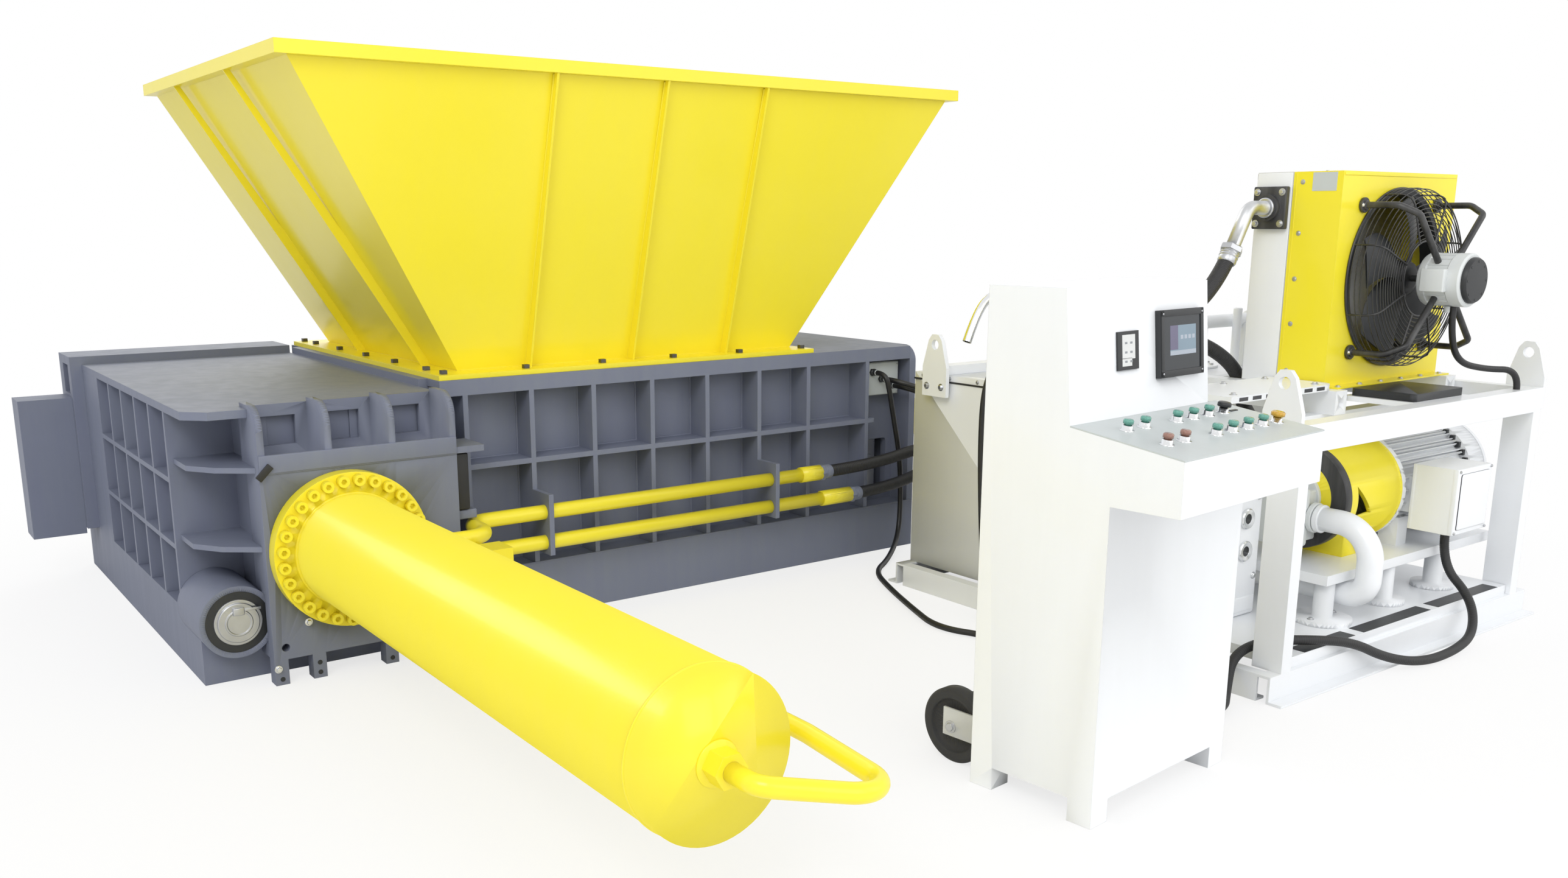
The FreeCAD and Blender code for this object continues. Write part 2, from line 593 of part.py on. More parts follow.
subpart("gate_cylinder", cut("gate_cylinder_bored", body,
                             rod("gate_tube_bore", "x", s.gate_bore, s.press_right,
                                 tube_end - 40, gate_axis),
                             rod("gate_gland_bore", "x", s.gate_rod + 1, block_left - 1,
                                 s.press_right + 1, gate_axis)))
sheet_inner = s.housing_sheet
housing_front, housing_rear = wall_rear + s.housing_inset, base_rear - s.housing_rear_inset
housing = cut("housing_cut",
              slab("housing_block", (-s.housing_left, -s.door_left),
                   (housing_front, housing_rear), (s.housing_low, s.housing_high)),
              slab("housing_space", (-s.housing_left + sheet_inner, -s.door_left + 1),
                   (housing_front + sheet_inner, housing_rear - sheet_inner),
                   (s.housing_low + sheet_inner, s.housing_high - sheet_inner)))
subpart("gate_housing", housing)

# ------------------------------------------------------------------ feed box walls
rib_places = [s.feed_rib_first + s.feed_rib_pitch * k for k in range(7)] + [s.feed_rib_last]


def feed_wall(name, side):
    """One long wall of the feed box; side is -1 for the front wall and 1 for the rear one."""
    def across(near, far):
        return (near, far) if side > 0 else (-formula(far), -formula(near))

    pieces = [slab(name + "_sheet", (s.press_right, s.feed_end),
                   across(s.charge_half, s.charge_half + s.feed_sheet), (s.base_top, s.chord_top)),
              slab(name + "_chord", (s.press_right + 35, s.feed_end),
                   across(s.charge_half, feed_half), (s.press_top, s.chord_top)),
              slab(name + "_lip", (s.press_right + 35, s.feed_end),
                   across(feed_half - s.wall_sheet, feed_half),
                   (s.chord_top - s.chord_lip, s.chord_top)),
              slab(name + "_rail", (s.press_right + 35, s.feed_rib_last + 60),
                   across(s.charge_half + s.feed_sheet, feed_half),
                   (s.feed_mid - s.feed_rib / 2, s.feed_mid + s.feed_rib / 2)),
              slab(name + "_post", (s.chamber_half, s.press_right),
                   across(s.charge_half, s.base_front) if side < 0
                   else (s.charge_half, wall_rear), (s.base_top, s.chamber_ceiling))]
    for place in rib_places:
        pieces.append(slab(name + "_rib", (place, place + s.feed_rib),
                           across(s.charge_half + s.feed_sheet, feed_half),
                           (s.base_top, s.press_top)))
    tools = bolt_holes(name + "_hole", "long", side)
    if side < 0:
        for place in (rib_places[1], rib_places[5]):
            pieces.append(slab("pipe_bracket", (place, place + s.feed_rib),
                               (-supply_line - s.bracket_lip, -feed_half),
                               (s.bracket_low, s.bracket_high)))
            tools += [rod("bracket_hole", "x", s.supply_radius, place - 1, place + s.feed_rib + 1,
                          (-supply_line, height)) for height in (s.supply_high, s.supply_low)]
        tools.append(rounded("service_window", (s.window_left, s.window_right),
                             (-s.charge_half - s.feed_sheet - 1, -s.charge_half + 1),
                             (s.window_low, s.window_high), "y", 20,
                             [(0, 0), (0, 1), (1, 0), (1, 1)]))
    return cut(name, fuse(name + "_whole", *pieces), *tools)


subpart("feed_wall_front", feed_wall("wall_front", -1))
subpart("feed_wall_rear", feed_wall("wall_rear_side", 1))

end_right = s.feed_end + s.end_plate
end = fuse("feed_end_whole",
           rounded("end_sheet", (s.feed_end, end_right), (-feed_half, feed_half),
                   (s.base_top, s.chord_top), "x", s.end_round, [(0, 1), (1, 1)]),
           slab("feed_cover", (s.mouth_right, s.feed_end), (-s.charge_half, s.charge_half),
                (s.press_top, s.chord_top)),
           slab("stripper_bar", (s.mouth_right, s.mouth_right + s.stripper),
                (-s.charge_half, s.charge_half), (s.chamber_ceiling + s.running_gap, s.press_top)))
subpart("feed_end_plate", cut("feed_end_cut", end,
                              rod("end_hole", "x", s.feed_barrel, s.feed_end - 1, end_right + 1,
                                  (0, s.axis_height)), *bolt_holes("cover_hole", "short", 1)))

# ------------------------------------------------------------------ hopper
sheet_thick = s.hopper_sheet
band = (s.rim_height - s.rim_band, s.rim_height)
throat_x, throat_y = (s.throat_left, s.throat_right), (-s.charge_half, s.charge_half)
top_x = (-s.rim_left + s.rim_lip + sheet_thick, s.rim_right - s.rim_lip - sheet_thick)
top_y = (-s.rim_front + s.rim_lip + sheet_thick, s.charge_half)


def widened(span, by):
    return span[0] - by, span[1] + by


shell = frustum("hopper_shell", widened(throat_x, sheet_thick), widened(throat_y, sheet_thick),
                widened(top_x, sheet_thick), widened(top_y, sheet_thick),
                (s.chord_top, s.rim_height))
pieces = [shell, slab("hopper_flange", (s.flange_left, s.flange_right),
                      (-flange_half, flange_half), (s.chord_top, s.chord_top + s.flange_plate)),
          slab("hopper_band", (-s.rim_left, s.rim_right),
               (-s.rim_front, s.charge_half + sheet_thick + s.rim_lip), band)]
foot, crown = s.chord_top + s.flange_plate, band[0]
deep = s.hopper_rib_deep
face_low, face_high = -s.charge_half - sheet_thick, top_y[0] - sheet_thick
profile = [(face_low + 8, foot), (face_low - deep, foot), (face_high - s.rim_lip + 4, crown),
           (face_high + 8, crown)]
for k in range(3):
    left = s.front_rib_first + s.front_rib_pitch * k
    pieces.append(pad("hopper_front_rib", "YZ", profile, left, left + s.hopper_rib))
for side in (-1, 1):
    low = s.throat_left - sheet_thick if side < 0 else s.throat_right + sheet_thick
    high = top_x[0] - sheet_thick if side < 0 else top_x[1] + sheet_thick
    profile = [(low - 8 * side, foot), (low + deep * side, foot),
               (high + (s.rim_lip - 4) * side, crown), (high - 8 * side, crown)]
    for place in (-2 * s.side_rib_place, s.side_rib_place):
        pieces.append(pad("hopper_side_rib", "XZ", profile if side < 0 else profile[::-1],
                          place, place + s.hopper_rib))
tools = [frustum("hopper_space", throat_x, throat_y, top_x, top_y, (s.chord_top, s.rim_height))]
centres = [centre for kind in ("long", "short") for side in (-1, 1)
           for centre in flange_bolts(kind, side)]
tools += [rod("flange_hole", "z", s.hopper_bolt + 0.5, s.chord_top - 1, foot + 1, centre)
          for centre in centres]
subpart("hopper", cut("hopper_cut", fuse("hopper_whole", *pieces), *tools))
bolts = []
for x, y in centres:
    bolts.append(fuse("hopper_bolt_whole",
                      rod("hopper_bolt_shank", "z", s.hopper_bolt, s.chord_top - 18, foot + 1,
                          (x, y)),
                      slab("hopper_bolt_top", (x - s.hopper_bolt_head, x + s.hopper_bolt_head),
                           (y - s.hopper_bolt_head, y + s.hopper_bolt_head), (foot, foot + 16))))
subpart("hopper_bolts", group("hopper_bolt_set", *bolts))

# ------------------------------------------------------------------ main cylinder and ram
axis = (0, s.axis_height)
barrel_front = front - s.flange_thick
gland_end = barrel_front - 40
barrel = turned("barrel_body", "y", [
    (s.barrel_bore, -s.barrel_end + s.barrel_cap), (0, -s.barrel_end + s.barrel_cap),
    (0, -s.barrel_end), (s.barrel, -s.barrel_end), (s.barrel, barrel_front),
    (s.flange_radius, barrel_front), (s.flange_radius, front), (s.ram_rod + 2, front),
    (s.ram_rod + 2, gland_end), (s.barrel_bore, gland_end)], axis)
port = cut("port_boss", rod("port_post", "x", s.port_radius, s.barrel - 25, s.port_reach,
                            (-s.port_line, s.supply_high)),
           rod("port_clear", "y", s.barrel - 10, -s.port_line - 60, -s.port_line + 60, axis))
holes = [rod("barrel_hole", "y", s.bolt_shank + 0.5, barrel_front - 1, front + 1, centre)
         for centre in ring_of(28, s.bolt_circle, s.axis_height)]
subpart("main_cylinder", cut("main_cylinder_drilled", fuse("barrel_with_port", barrel, port),
                             *holes))
bolts = []
for centre in ring_of(28, s.bolt_circle, s.axis_height):
    bolt = fuse("cylinder_bolt_whole",
                rod("bolt_shank_bar", "y", s.bolt_shank, barrel_front - 1,
                    front + s.bolt_deep - 2, centre),
                rod("bolt_head_bar", "y", s.bolt_head, barrel_front - s.bolt_head_high,
                    barrel_front, centre))
    bolts.append(cut("cylinder_bolt", bolt,
                     rod("bolt_socket_space", "y", s.bolt_socket,
                         barrel_front - s.bolt_head_high - 1,
                         barrel_front - s.bolt_head_high / 2, centre, "Part::Prism")))
subpart("cylinder_bolts", group("cylinder_bolt_set", *bolts))

ram_front = -s.ram_retreat + s.ram_length
side_gap = s.running_gap
subpart("main_ram", group(
    "main_ram_set",
    slab("ram_head", (-s.chamber_half + side_gap, s.chamber_half - side_gap),
         (-s.ram_retreat, ram_front), (s.base_top + side_gap, s.chamber_ceiling - side_gap)),
    rod("ram_rod_bar", "y", s.ram_rod, -s.rod_end, -s.ram_retreat, axis),
    rod("ram_piston", "y", s.barrel_bore - 1, -s.rod_end - s.piston_length, -s.rod_end, axis)))

# ------------------------------------------------------------------ feed cylinder and ram
shell = cut("feed_shell",
            slab("feed_block", (s.feed_face, s.feed_face + s.feed_ram_length),
                 (-s.charge_half + side_gap, s.charge_half - side_gap),
                 (s.base_top + side_gap, s.chamber_ceiling - side_gap)),
            slab("feed_space", (s.feed_face + s.feed_face_plate,
                                s.feed_face + s.feed_ram_length + 1),
                 (-s.charge_half + side_gap + s.feed_ram_wall,
                  s.charge_half - side_gap - s.feed_ram_wall),
                 (s.base_top + side_gap + s.feed_ram_wall,
                  s.chamber_ceiling - side_gap - s.feed_ram_wall)))
rod_start = s.feed_face + s.feed_face_plate
subpart("feed_ram", group(
    "feed_ram_set", shell,
    rod("feed_rod_bar", "x", s.feed_rod, rod_start, s.feed_piston_end - 60, axis),
    rod("feed_piston", "x", s.feed_bore - 1, s.feed_piston_end - 60, s.feed_piston_end, axis)))
gland_right = s.feed_barrel_start + s.feed_gland
subpart("feed_cylinder", turned("feed_tube", "x", [
    (s.feed_rod + 2, s.feed_barrel_start), (s.feed_barrel, s.feed_barrel_start),
    (s.feed_barrel, end_right), (s.feed_flange, end_right),
    (s.feed_flange, end_right + s.feed_flange_thick),
    (s.feed_barrel, end_right + s.feed_flange_thick), (s.feed_barrel, s.feed_barrel_end),
    (0, s.feed_barrel_end), (0, s.feed_barrel_end - s.feed_cap),
    (s.feed_bore, s.feed_barrel_end - s.feed_cap), (s.feed_bore, gland_right),
    (s.feed_rod + 2, gland_right)], axis))

# ------------------------------------------------------------------ lock cylinder
lock = (-s.lock_x, s.lock_height)
lock_rear = -s.wall_front - 2
body = fuse("lock_whole",
            tube("lock_sleeve", "y", s.lock_shroud, s.lock_shroud_bore, -s.lock_front, lock_rear,
                 lock),
            rod("lock_disc", "y", s.lock_shroud_bore + 2, lock_rear - s.wall_sheet, lock_rear, lock),
            rod("lock_barrel", "y", s.lock_body, -s.lock_front + 20, lock_rear - 1, lock),
            slab("lock_fitting", (-s.lock_x - 24, -s.lock_x + 24),
                 (-s.lock_front - 12, -s.lock_front + 25),
                 (s.lock_height - 24, s.lock_height + 24)))
subpart("side_cylinder", cut("lock_bored", body,
                             rod("lock_bore", "y", s.lock_bar + 1, -s.lock_front + 45,
                                 lock_rear + 1, lock)))
subpart("side_ram", rod("lock_bar_rod", "y", s.lock_bar, -s.lock_bar_end - 640, -s.lock_bar_end,
                        lock))

# ------------------------------------------------------------------ rigid pipes
high, low = s.supply_high, s.supply_low
upper = [(s.port_reach, -s.port_line, high), (s.supply_start, -s.port_line, high),
         (s.supply_start, -supply_line, high), (s.supply_high_end, -supply_line, high)]
block_middle = (s.block_low + s.block_high) / 2
lower = [(s.block_right - 40, -s.block_rear, block_middle),
         (s.block_right - 40, -s.block_rear + 50, block_middle),
         (s.supply_start + 20, -supply_line, low), (s.supply_low_end, -supply_line, low)]
solids = [free_shape("upper_pipe", pipe(upper, [90, 90], s.supply_radius)),
          rod("upper_fitting", "x", s.fitting_radius, s.supply_high_end,
              s.supply_high_end + s.fitting_length, (-supply_line, high)),
          free_shape("lower_pipe", pipe(lower, [80, 90], s.supply_radius)),
          rod("lower_fitting", "x", s.fitting_radius, s.supply_low_end,
              s.supply_low_end + s.fitting_length + 60, (-supply_line, low))]
subpart("supply_pipes", group("supply_set", *solids))

nut_end = -s.barrel_end - s.nut_length
back = [(0, nut_end, 476), (0, nut_end - 93, 476), (300, nut_end - 253, 430), (330, -3500, 440),
        (330, -1800, 450), (400, -1640, 440), (400, -s.block_front, 440)]
subpart("return_pipe", group(
    "return_set", rod("return_nut", "y", s.nut_radius, nut_end, -s.barrel_end, (0, 476),
                      "Part::Prism"),
    free_shape("return_line", pipe(back, [60, 90, 120, 150, 100], s.return_radius)),
    slab("return_block", (s.block_left, s.block_right), (-s.block_front, -s.block_rear),
         (s.block_low, s.block_high))))

# ------------------------------------------------------------------ junction box
box_front = -s.charge_half - s.feed_sheet - s.junction_deep
wide = s.junction_right - s.junction_left
tall = s.junction_high - s.junction_low
pieces = [slab("junction_case", (s.junction_left, s.junction_right),
               (box_front, -s.charge_half - s.feed_sheet), (s.junction_low, s.junction_high))]
for k, (along, up) in enumerate(((0.25, 0.72), (0.5, 0.5), (0.75, 0.28))):
    pieces.append(rod("junction_gland", "y", s.gland_radius, box_front - s.gland_length,
                      box_front + 1, (s.junction_left + wide * along, s.junction_low + tall * up)))
subpart("junction_box", fuse("junction_whole", *pieces))


# ------------------------------------------------------------------ control console
def circular(kind, angle):
    """The sine, cosine or tangent of an angle in degrees, as a formula."""
    angle = formula(angle)
    return Formula(f"{kind}({angle.text} * 1 deg)",
                   getattr(math, kind)(math.radians(angle.value)))


turn_cos, turn_sin = circular("cos", s.console_turn), circular("sin", s.console_turn)
slope_cos, slope_sin = circular("cos", s.desk_slope), circular("sin", s.desk_slope)
desk_high = s.desk_low + (s.desk_front + s.desk_rear) * circular("tan", s.desk_slope)


def on_console(thing, x=0, y=0, z=0, tilt=0):
    """Stands a finished object in the console's own axes, tilted back by an angle in degrees."""
    turn = FreeCAD.Rotation(V(0, 0, 1), s.console_turn.value)
    thing.Placement = FreeCAD.Placement(V(), turn.multiply(FreeCAD.Rotation(V(1, 0, 0), tilt)))
    bind(thing, "Placement.Base.x", s.console_x + turn_cos * x - turn_sin * y)
    bind(thing, "Placement.Base.y", -s.console_y + turn_sin * x + turn_cos * y)
    bind(thing, "Placement.Base.z", z)
    return thing


wide, skin = s.console_width, s.console_sheet
outer = [(0, s.console_foot), (0, s.apron_low), (-s.desk_front, s.apron_low),
         (-s.desk_front, s.desk_low), (s.desk_rear, desk_high), (s.panel_front_top, s.console_top),
         (s.console_depth, s.console_top), (s.console_depth, s.console_foot)]
inner = [(skin, s.console_foot + skin), (skin, s.apron_low + skin),
         (-s.desk_front + skin, s.apron_low + skin), (-s.desk_front + skin, s.desk_low - skin),
         (s.desk_rear + skin, desk_high - skin), (s.panel_front_top + skin, s.console_top - skin),
         (s.console_depth - skin, s.console_top - skin),
         (s.console_depth - skin, s.console_foot + skin)]
desk = [(-s.desk_front, s.apron_low), (-s.desk_front, s.desk_low), (s.desk_rear, desk_high),
        (s.desk_rear, s.apron_low)]
pieces = [pad("console_body", "YZ", outer, 0, wide),
          pad("desk_side", "YZ", desk, wide - 1, s.desk_width)]
foot_width = s.console_foot_width
for x in (0, wide - foot_width):
    for y in (0, s.console_depth - foot_width):
        pieces.append(slab("console_foot_block", (x, x + foot_width), (y, y + foot_width),
                           (0, s.console_foot)))
fork = s.fork_plate
for left in (s.wheel_left, s.wheel_right):
    for start in (left - s.wheel_gap - fork, left + s.wheel_width + s.wheel_gap):
        pieces.append(slab("wheel_fork", (start, start + fork),
                           (s.console_depth - 1, s.wheel_line + 30),
                           (s.wheel_radius - 30, s.wheel_radius + 60)))
    pieces.append(rod("wheel_axle", "x", s.axle_radius, left - s.wheel_gap - 1,
                      left + s.wheel_width + s.wheel_gap + 1, (s.wheel_line, s.wheel_radius)))
for k in range(3):
    pieces.append(rod("console_port", "y", s.conduit + s.port_wall / 2, s.console_depth - 1,
                      s.console_depth + s.console_port_length,
                      (s.console_port_first + s.console_port_pitch * k, s.console_port_height)))
cabinet = cut("console_cabinet_cut", fuse("console_whole", *pieces),
              pad("console_space", "YZ", inner, skin, wide - skin),
              rod("cable_hole", "z", s.cable_entry, s.console_foot - 1,
                  s.console_foot + skin + 1, (wide / 2, s.console_depth / 2)))
subpart("console_cabinet", on_console(cabinet))

plate_rise = s.desk_sheet / slope_cos
plate = [(-s.desk_front, s.desk_low), (-s.desk_front, s.desk_low + plate_rise),
         (s.desk_rear, desk_high + plate_rise), (s.desk_rear, desk_high)]
panel_lean = math.degrees(math.atan2((s.panel_front_top - s.desk_rear).value,
                                     (s.console_top - desk_high).value))
subpart("desk_plate", on_console(pad("desk_plate_body", "YZ", plate, 0, s.desk_width)))

lean = (s.panel_front_top - s.desk_rear) / (s.console_top - desk_high)


def on_panel(thing, x, z):
    """Fixes a flat object on the leaning upper panel, at a height above the floor."""
    return on_console(thing, x, s.desk_rear + (z - desk_high) * lean, z, 90 - panel_lean)


screen = cut("screen_cut", slab("screen_case", (0, s.screen_width), (0, s.screen_high),
                                (0, s.screen_deep)),
             slab("screen_recess", (s.screen_border, s.screen_width - s.screen_border),
                  (s.screen_border, s.screen_high - s.screen_border),
                  (s.screen_deep - 2, s.screen_deep + 1)))
legend = slab("legend_sheet", (0, s.legend_width), (0, s.legend_high), (0, s.legend_deep))
subpart("touch_screen", group("screen_pair", on_panel(screen, s.screen_left, s.screen_low),
                              on_panel(legend, s.legend_left, s.legend_low)))


def on_desk(thing, along, up):
    """Stands an object on the desk plate: along its front edge, and up its slope."""
    return on_console(thing, along, -s.desk_front + slope_cos * up,
                      s.desk_low + plate_rise + slope_sin * up, s.desk_slope.value)


BUTTONS = {}
for k in range(2):
    BUTTONS[f"button_green_{k + 1}"] = (s.back_left + s.button_pitch * k, s.back_row)
    BUTTONS[f"button_red_{k + 1}"] = (s.front_left + s.button_pitch * k, s.front_row)
for k in range(3):
    BUTTONS[f"button_green_{k + 3}"] = (s.back_right + s.button_pitch * k, s.back_row)
for k in range(4):
    BUTTONS[f"button_green_{k + 6}"] = (s.front_right + s.button_pitch * k, s.front_row)
BUTTONS["button_stop"] = (s.back_right + s.button_pitch * 3, s.back_row)
BUTTONS["button_amber"] = (s.front_right + s.button_pitch * 4, s.front_row)
rings = []
for name, (along, up) in BUTTONS.items():
    ring = fuse("bezel_whole",
                tube("bezel_ring", "z", s.bezel_radius, s.bezel_bore, 0, s.bezel_high, (0, 0)),
                tube("bezel_plate", "z", s.button_plate, s.bezel_bore, 0, s.button_plate_high,
                     (0, 0)))
    rings.append(on_desk(ring, along, up))
    wide_cap = name in ("button_stop", "button_amber")
    cap = turned(name + "_body", "z", [
        (0, s.stem_low), (s.stem, s.stem_low), (s.stem, s.cap_low),
        (s.mushroom if wide_cap else s.cap_radius, s.cap_low),
        (s.mushroom if wide_cap else s.cap_radius, s.cap_low + s.cap_high - 3),
        ((s.mushroom if wide_cap else s.cap_radius) - 3, s.cap_low + s.cap_high),
        (0, s.cap_low + s.cap_high)], (0, 0))
    subpart(name, on_desk(cap, along, up))
subpart("button_bezels", group("bezel_set", *rings))

for name, left in (("wheel_left", s.wheel_left), ("wheel_right", s.wheel_right)):
    tyre, hub = s.wheel_radius, s.wheel_radius - 34
    wheel = turned(name + "_body", "x", [
        (s.axle_radius + 0.5, left), (s.axle_radius + 18, left), (s.axle_radius + 18, left + 12),
        (hub, left + 12), (hub, left + 2), (tyre - 8, left), (tyre, left + 8),
        (tyre, left + s.wheel_width - 8), (tyre - 8, left + s.wheel_width),
        (hub, left + s.wheel_width - 2), (hub, left + s.wheel_width - 12),
        (s.axle_radius + 18, left + s.wheel_width - 12), (s.axle_radius + 18, left + s.wheel_width),
        (s.axle_radius + 0.5, left + s.wheel_width)], (s.wheel_line, s.wheel_radius))
    subpart(name, on_console(group(name + "_set", wheel)))

# ------------------------------------------------------------------ power pack frame
web, reach, rise = s.rail_web, s.rail_flange, s.rail_high
start, stop = -s.pack_front, -s.pack_rear
front_rail = [(start - reach, 0), (start + web, 0), (start + web, rise - web),
              (start + reach, rise - web), (start + reach, rise), (start, rise), (start, web),
              (start - reach, web)]
rear_rail = [(stop + reach, 0), (stop + reach, web), (stop, web), (stop, rise),
             (stop - reach, rise), (stop - reach, rise - web), (stop - web, rise - web),
             (stop - web, 0)]
left = s.pack_left
left_rail = [(left, 0), (left + reach, 0), (left + reach, web), (left + web, web),
             (left + web, rise - web), (left + reach, rise - web), (left + reach, rise),
             (left, rise)]
right = s.pack_right
right_rail = [(right - reach, 0), (right, 0), (right, rise), (right - reach, rise),
              (right - reach, rise - web), (right - web, rise - web), (right - web, web),
              (right - reach, web)]
pack = [pad("front_rail", "YZ", front_rail, left, right), pad("rear_rail", "YZ", rear_rail, left,
                                                             right),
        pad("left_rail", "XZ", left_rail, start + reach, stop - reach),
        pad("right_rail", "XZ", right_rail, start + reach, stop - reach)]
post_left = (s.post_left, s.post_left + s.post_width)
post_right = (s.post_right - s.post_width, s.post_right)
post_top = s.frame_top - s.beam_high
front_posts, rear_posts = (start, start + s.post_deep), (stop - s.post_deep, stop)
beams = (post_top, s.frame_top)
beam_rear = start + s.beam_deep
pack += [slab("post_front_left", post_left, front_posts, (rise, post_top)),
         slab("post_front_right", post_right, front_posts, (rise, post_top)),
         slab("post_rear_right", post_right, rear_posts, (rise, post_top)),
         slab("beam_front", (s.post_left, s.post_right), (start, beam_rear), beams),
         slab("beam_left", post_left, (beam_rear, -s.tank_front), beams),
         slab("beam_right", post_right, (beam_rear, stop), beams),
         slab("cross_rail_bar", (post_left[1], post_right[0]),
              (-s.bearer_front + 50, -s.bearer_front + 50 + s.cross_rail),
              (s.bearer_top - s.bearer_high - s.cross_rail, s.bearer_top - s.bearer_high)),
         slab("tank_rail", (s.post_left, s.post_right), (stop - 210, stop - 130),
              (s.tank_high, s.tank_high + 40)),
         slab("switch_shelf", (s.switch_left - 20, s.switch_right + 20),
              (beam_rear, -s.switch_rear + 20), (s.frame_top - 20, s.frame_top))]
for place in (s.bearer_left, s.cooler_right - s.bearer_width):
    pack.append(cut("bearer_drilled",
                    slab("bearer_bar", (place, place + s.bearer_width),
                         (-s.bearer_front, -s.tank_front),
                         (s.bearer_top - s.bearer_high, s.bearer_top)),
                    rod("bearer_hole", "y", 16, -s.bearer_front - 1, -s.bearer_front + 30,
                        (place + s.bearer_width / 2, s.bearer_top - s.bearer_high / 2))))
pack.append(rounded("top_slab", (s.slab_left, s.slab_right), (-s.slab_front, -s.slab_rear),
                    (s.bearer_top, s.bearer_top + s.slab_plate), "z", s.slab_round, [(1, 0)]))


def lifting_lug(right_face, front_face):
    """A tapered lifting lug, bolted beside a beam; its plate stands across X."""
    low, half = s.lug_low, s.lug_width / 2
    top = s.lug_hole_height + s.lug_crown
    middle = front_face + half
    shape = [(middle - half, low), (middle + half, low), (middle + half, low + 130),
             (middle + half - 35, top - 25), (middle + half - 55, top), (middle - half + 55, top),
             (middle - half + 35, top - 25), (middle - half, low + 130)]
    return cut("lug", pad("lug_plate_body", "YZ", shape, right_face - s.lug_plate, right_face),
               rod("lug_eye", "x", s.lug_hole, right_face - s.lug_plate - 1, right_face + 1,
                   (middle, s.lug_hole_height)))


rear_lug = stop - 170 - s.lug_width / 2
pack += [lifting_lug(s.post_left, start), lifting_lug(s.post_right + s.lug_plate, start),
         lifting_lug(s.post_left, rear_lug), lifting_lug(s.post_right + s.lug_plate, rear_lug)]
tray = cut("tray_hollow", slab("tray_block", (s.tray_left, s.tray_right),
                               (-s.tray_front, -s.tray_rear), (rise, s.tray_top)),
           slab("tray_space", (s.tray_left + 10, s.tray_right - 10),
                (-s.tray_front + 10, -s.tray_rear - 10), (rise, s.tray_top - 10)))
pack.append(tray)
for k, x in enumerate((s.bed_left + 70, s.bed_left + 513, s.bed_left + 916)):
    disc = s.pedestal_disc_wide if k == 0 else s.pedestal_disc
    for y in (-s.bed_front + 47, -s.bed_rear - 45):
        pack.append(fuse("pedestal",
                         rod("pedestal_base", "z", disc, s.tray_top, s.tray_top + 20, (x, y)),
                         rod("pedestal_post", "z", s.pedestal_stem, s.tray_top + 19, s.bed_low,
                             (x, y))))
pack.append(slab("bed_plate", (s.bed_left, s.bed_right), (-s.bed_front, -s.bed_rear),
                 (s.bed_low, s.bed_top)))
subpart("pack_frame", group("pack_frame_set", *pack))

# ------------------------------------------------------------------ oil tank
skin = s.tank_sheet
port_top, port_rear = s.tank_high + s.port_rise, -s.tank_rear + s.port_rise
TOP_PORTS = [((2800, -2300), s.cooler_hose + s.port_wall), ((2950, -2330), s.tank_hose
                                                           + s.port_wall),
             ((2640, -2000), s.cable_port)]
REAR_PORTS = [((3300, 580), s.hose + s.port_wall), ((3420, 480), s.hose + s.port_wall),
              ((3150, 760), s.cable_port), ((3240, 700), s.cable_port)]
block = fuse("tank_whole",
             slab("tank_block", (s.tank_left, s.tank_right), (-s.tank_front, -s.tank_rear),
                  (rise, s.tank_high)),
             *[rod("tank_top_port", "z", radius, s.tank_high - 2, port_top, centre)
               for centre, radius in TOP_PORTS],
             *[rod("tank_rear_port", "y", radius, -s.tank_rear - 2, port_rear, centre)
               for centre, radius in REAR_PORTS])
subpart("oil_tank", cut("tank_hollow", block,
                        slab("tank_space", (s.tank_left + skin, s.tank_right - skin),
                             (-s.tank_front + skin, -s.tank_rear - skin),
                             (rise + skin, s.tank_high - skin)),
                        rod("tank_drain", "z", 20, rise - 1, rise + skin + 1,
                            (s.tank_right - 100, -s.tank_front + 100))))

# ------------------------------------------------------------------ motor, bell housing and pump
shaft_line = (-s.motor_line, s.motor_height)


def radial_plate(name, x, height, thick, turn):
    """A thin block across the motor's axis, turned about it."""
    plate = doc.addObject("Part::Box", name)
    plate.Placement = FreeCAD.Placement(V(), FreeCAD.Rotation(V(1, 0, 0), turn))
    swing_cos = round(math.cos(math.radians(turn)), 6)
    swing_sin = round(math.sin(math.radians(turn)), 6)
    bind(plate, "Length", formula(x[1]) - x[0])
    bind(plate, "Width", thick)
    bind(plate, "Height", height * 2)
    bind(plate, "Placement.Base.x", x[0])
    bind(plate, "Placement.Base.y", -s.motor_line - thick * (swing_cos / 2) + height * swing_sin)
    bind(plate, "Placement.Base.z", s.motor_height - thick * (swing_sin / 2) - height * swing_cos)
    return plate


fin_start, fin_end = s.motor_start + s.flange_face, s.cowl_start
pieces = [rod("motor_flange_disc", "x", s.motor_flange, s.motor_start, fin_start, shaft_line),
          rod("motor_barrel", "x", s.motor_body, fin_start - 1, fin_end + 1, shaft_line),
          rod("motor_cowl", "x", s.cowl_radius, s.cowl_start, s.motor_end, shaft_line),
          slab("terminal_case", (s.box_left, s.box_right), (-s.box_front, -s.box_rear),
               (s.box_low, s.box_high)),
          slab("terminal_neck", (s.box_left + 30, s.box_right - 30),
               (-s.box_rear - 1, -s.motor_line - 150), (s.box_low + 60, s.box_high - 60)),
          rod("terminal_gland", "z", 25, s.box_low - 30, s.box_low + 1, (3870, -3300))]
for k in range(12):
    pieces.append(radial_plate("motor_fin_plate", (fin_start - 1, fin_end + 1), s.motor_fin,
                               s.fin_thick, 15 * k))
for x in (s.motor_start + 60, s.cowl_start - 120):
    for side in (-1, 1):
        y = -s.motor_line + 150 * side
        pieces.append(slab("motor_foot", (x, x + 80), (y - 40, y + 40),
                           (s.bed_top, s.motor_height - 120)))
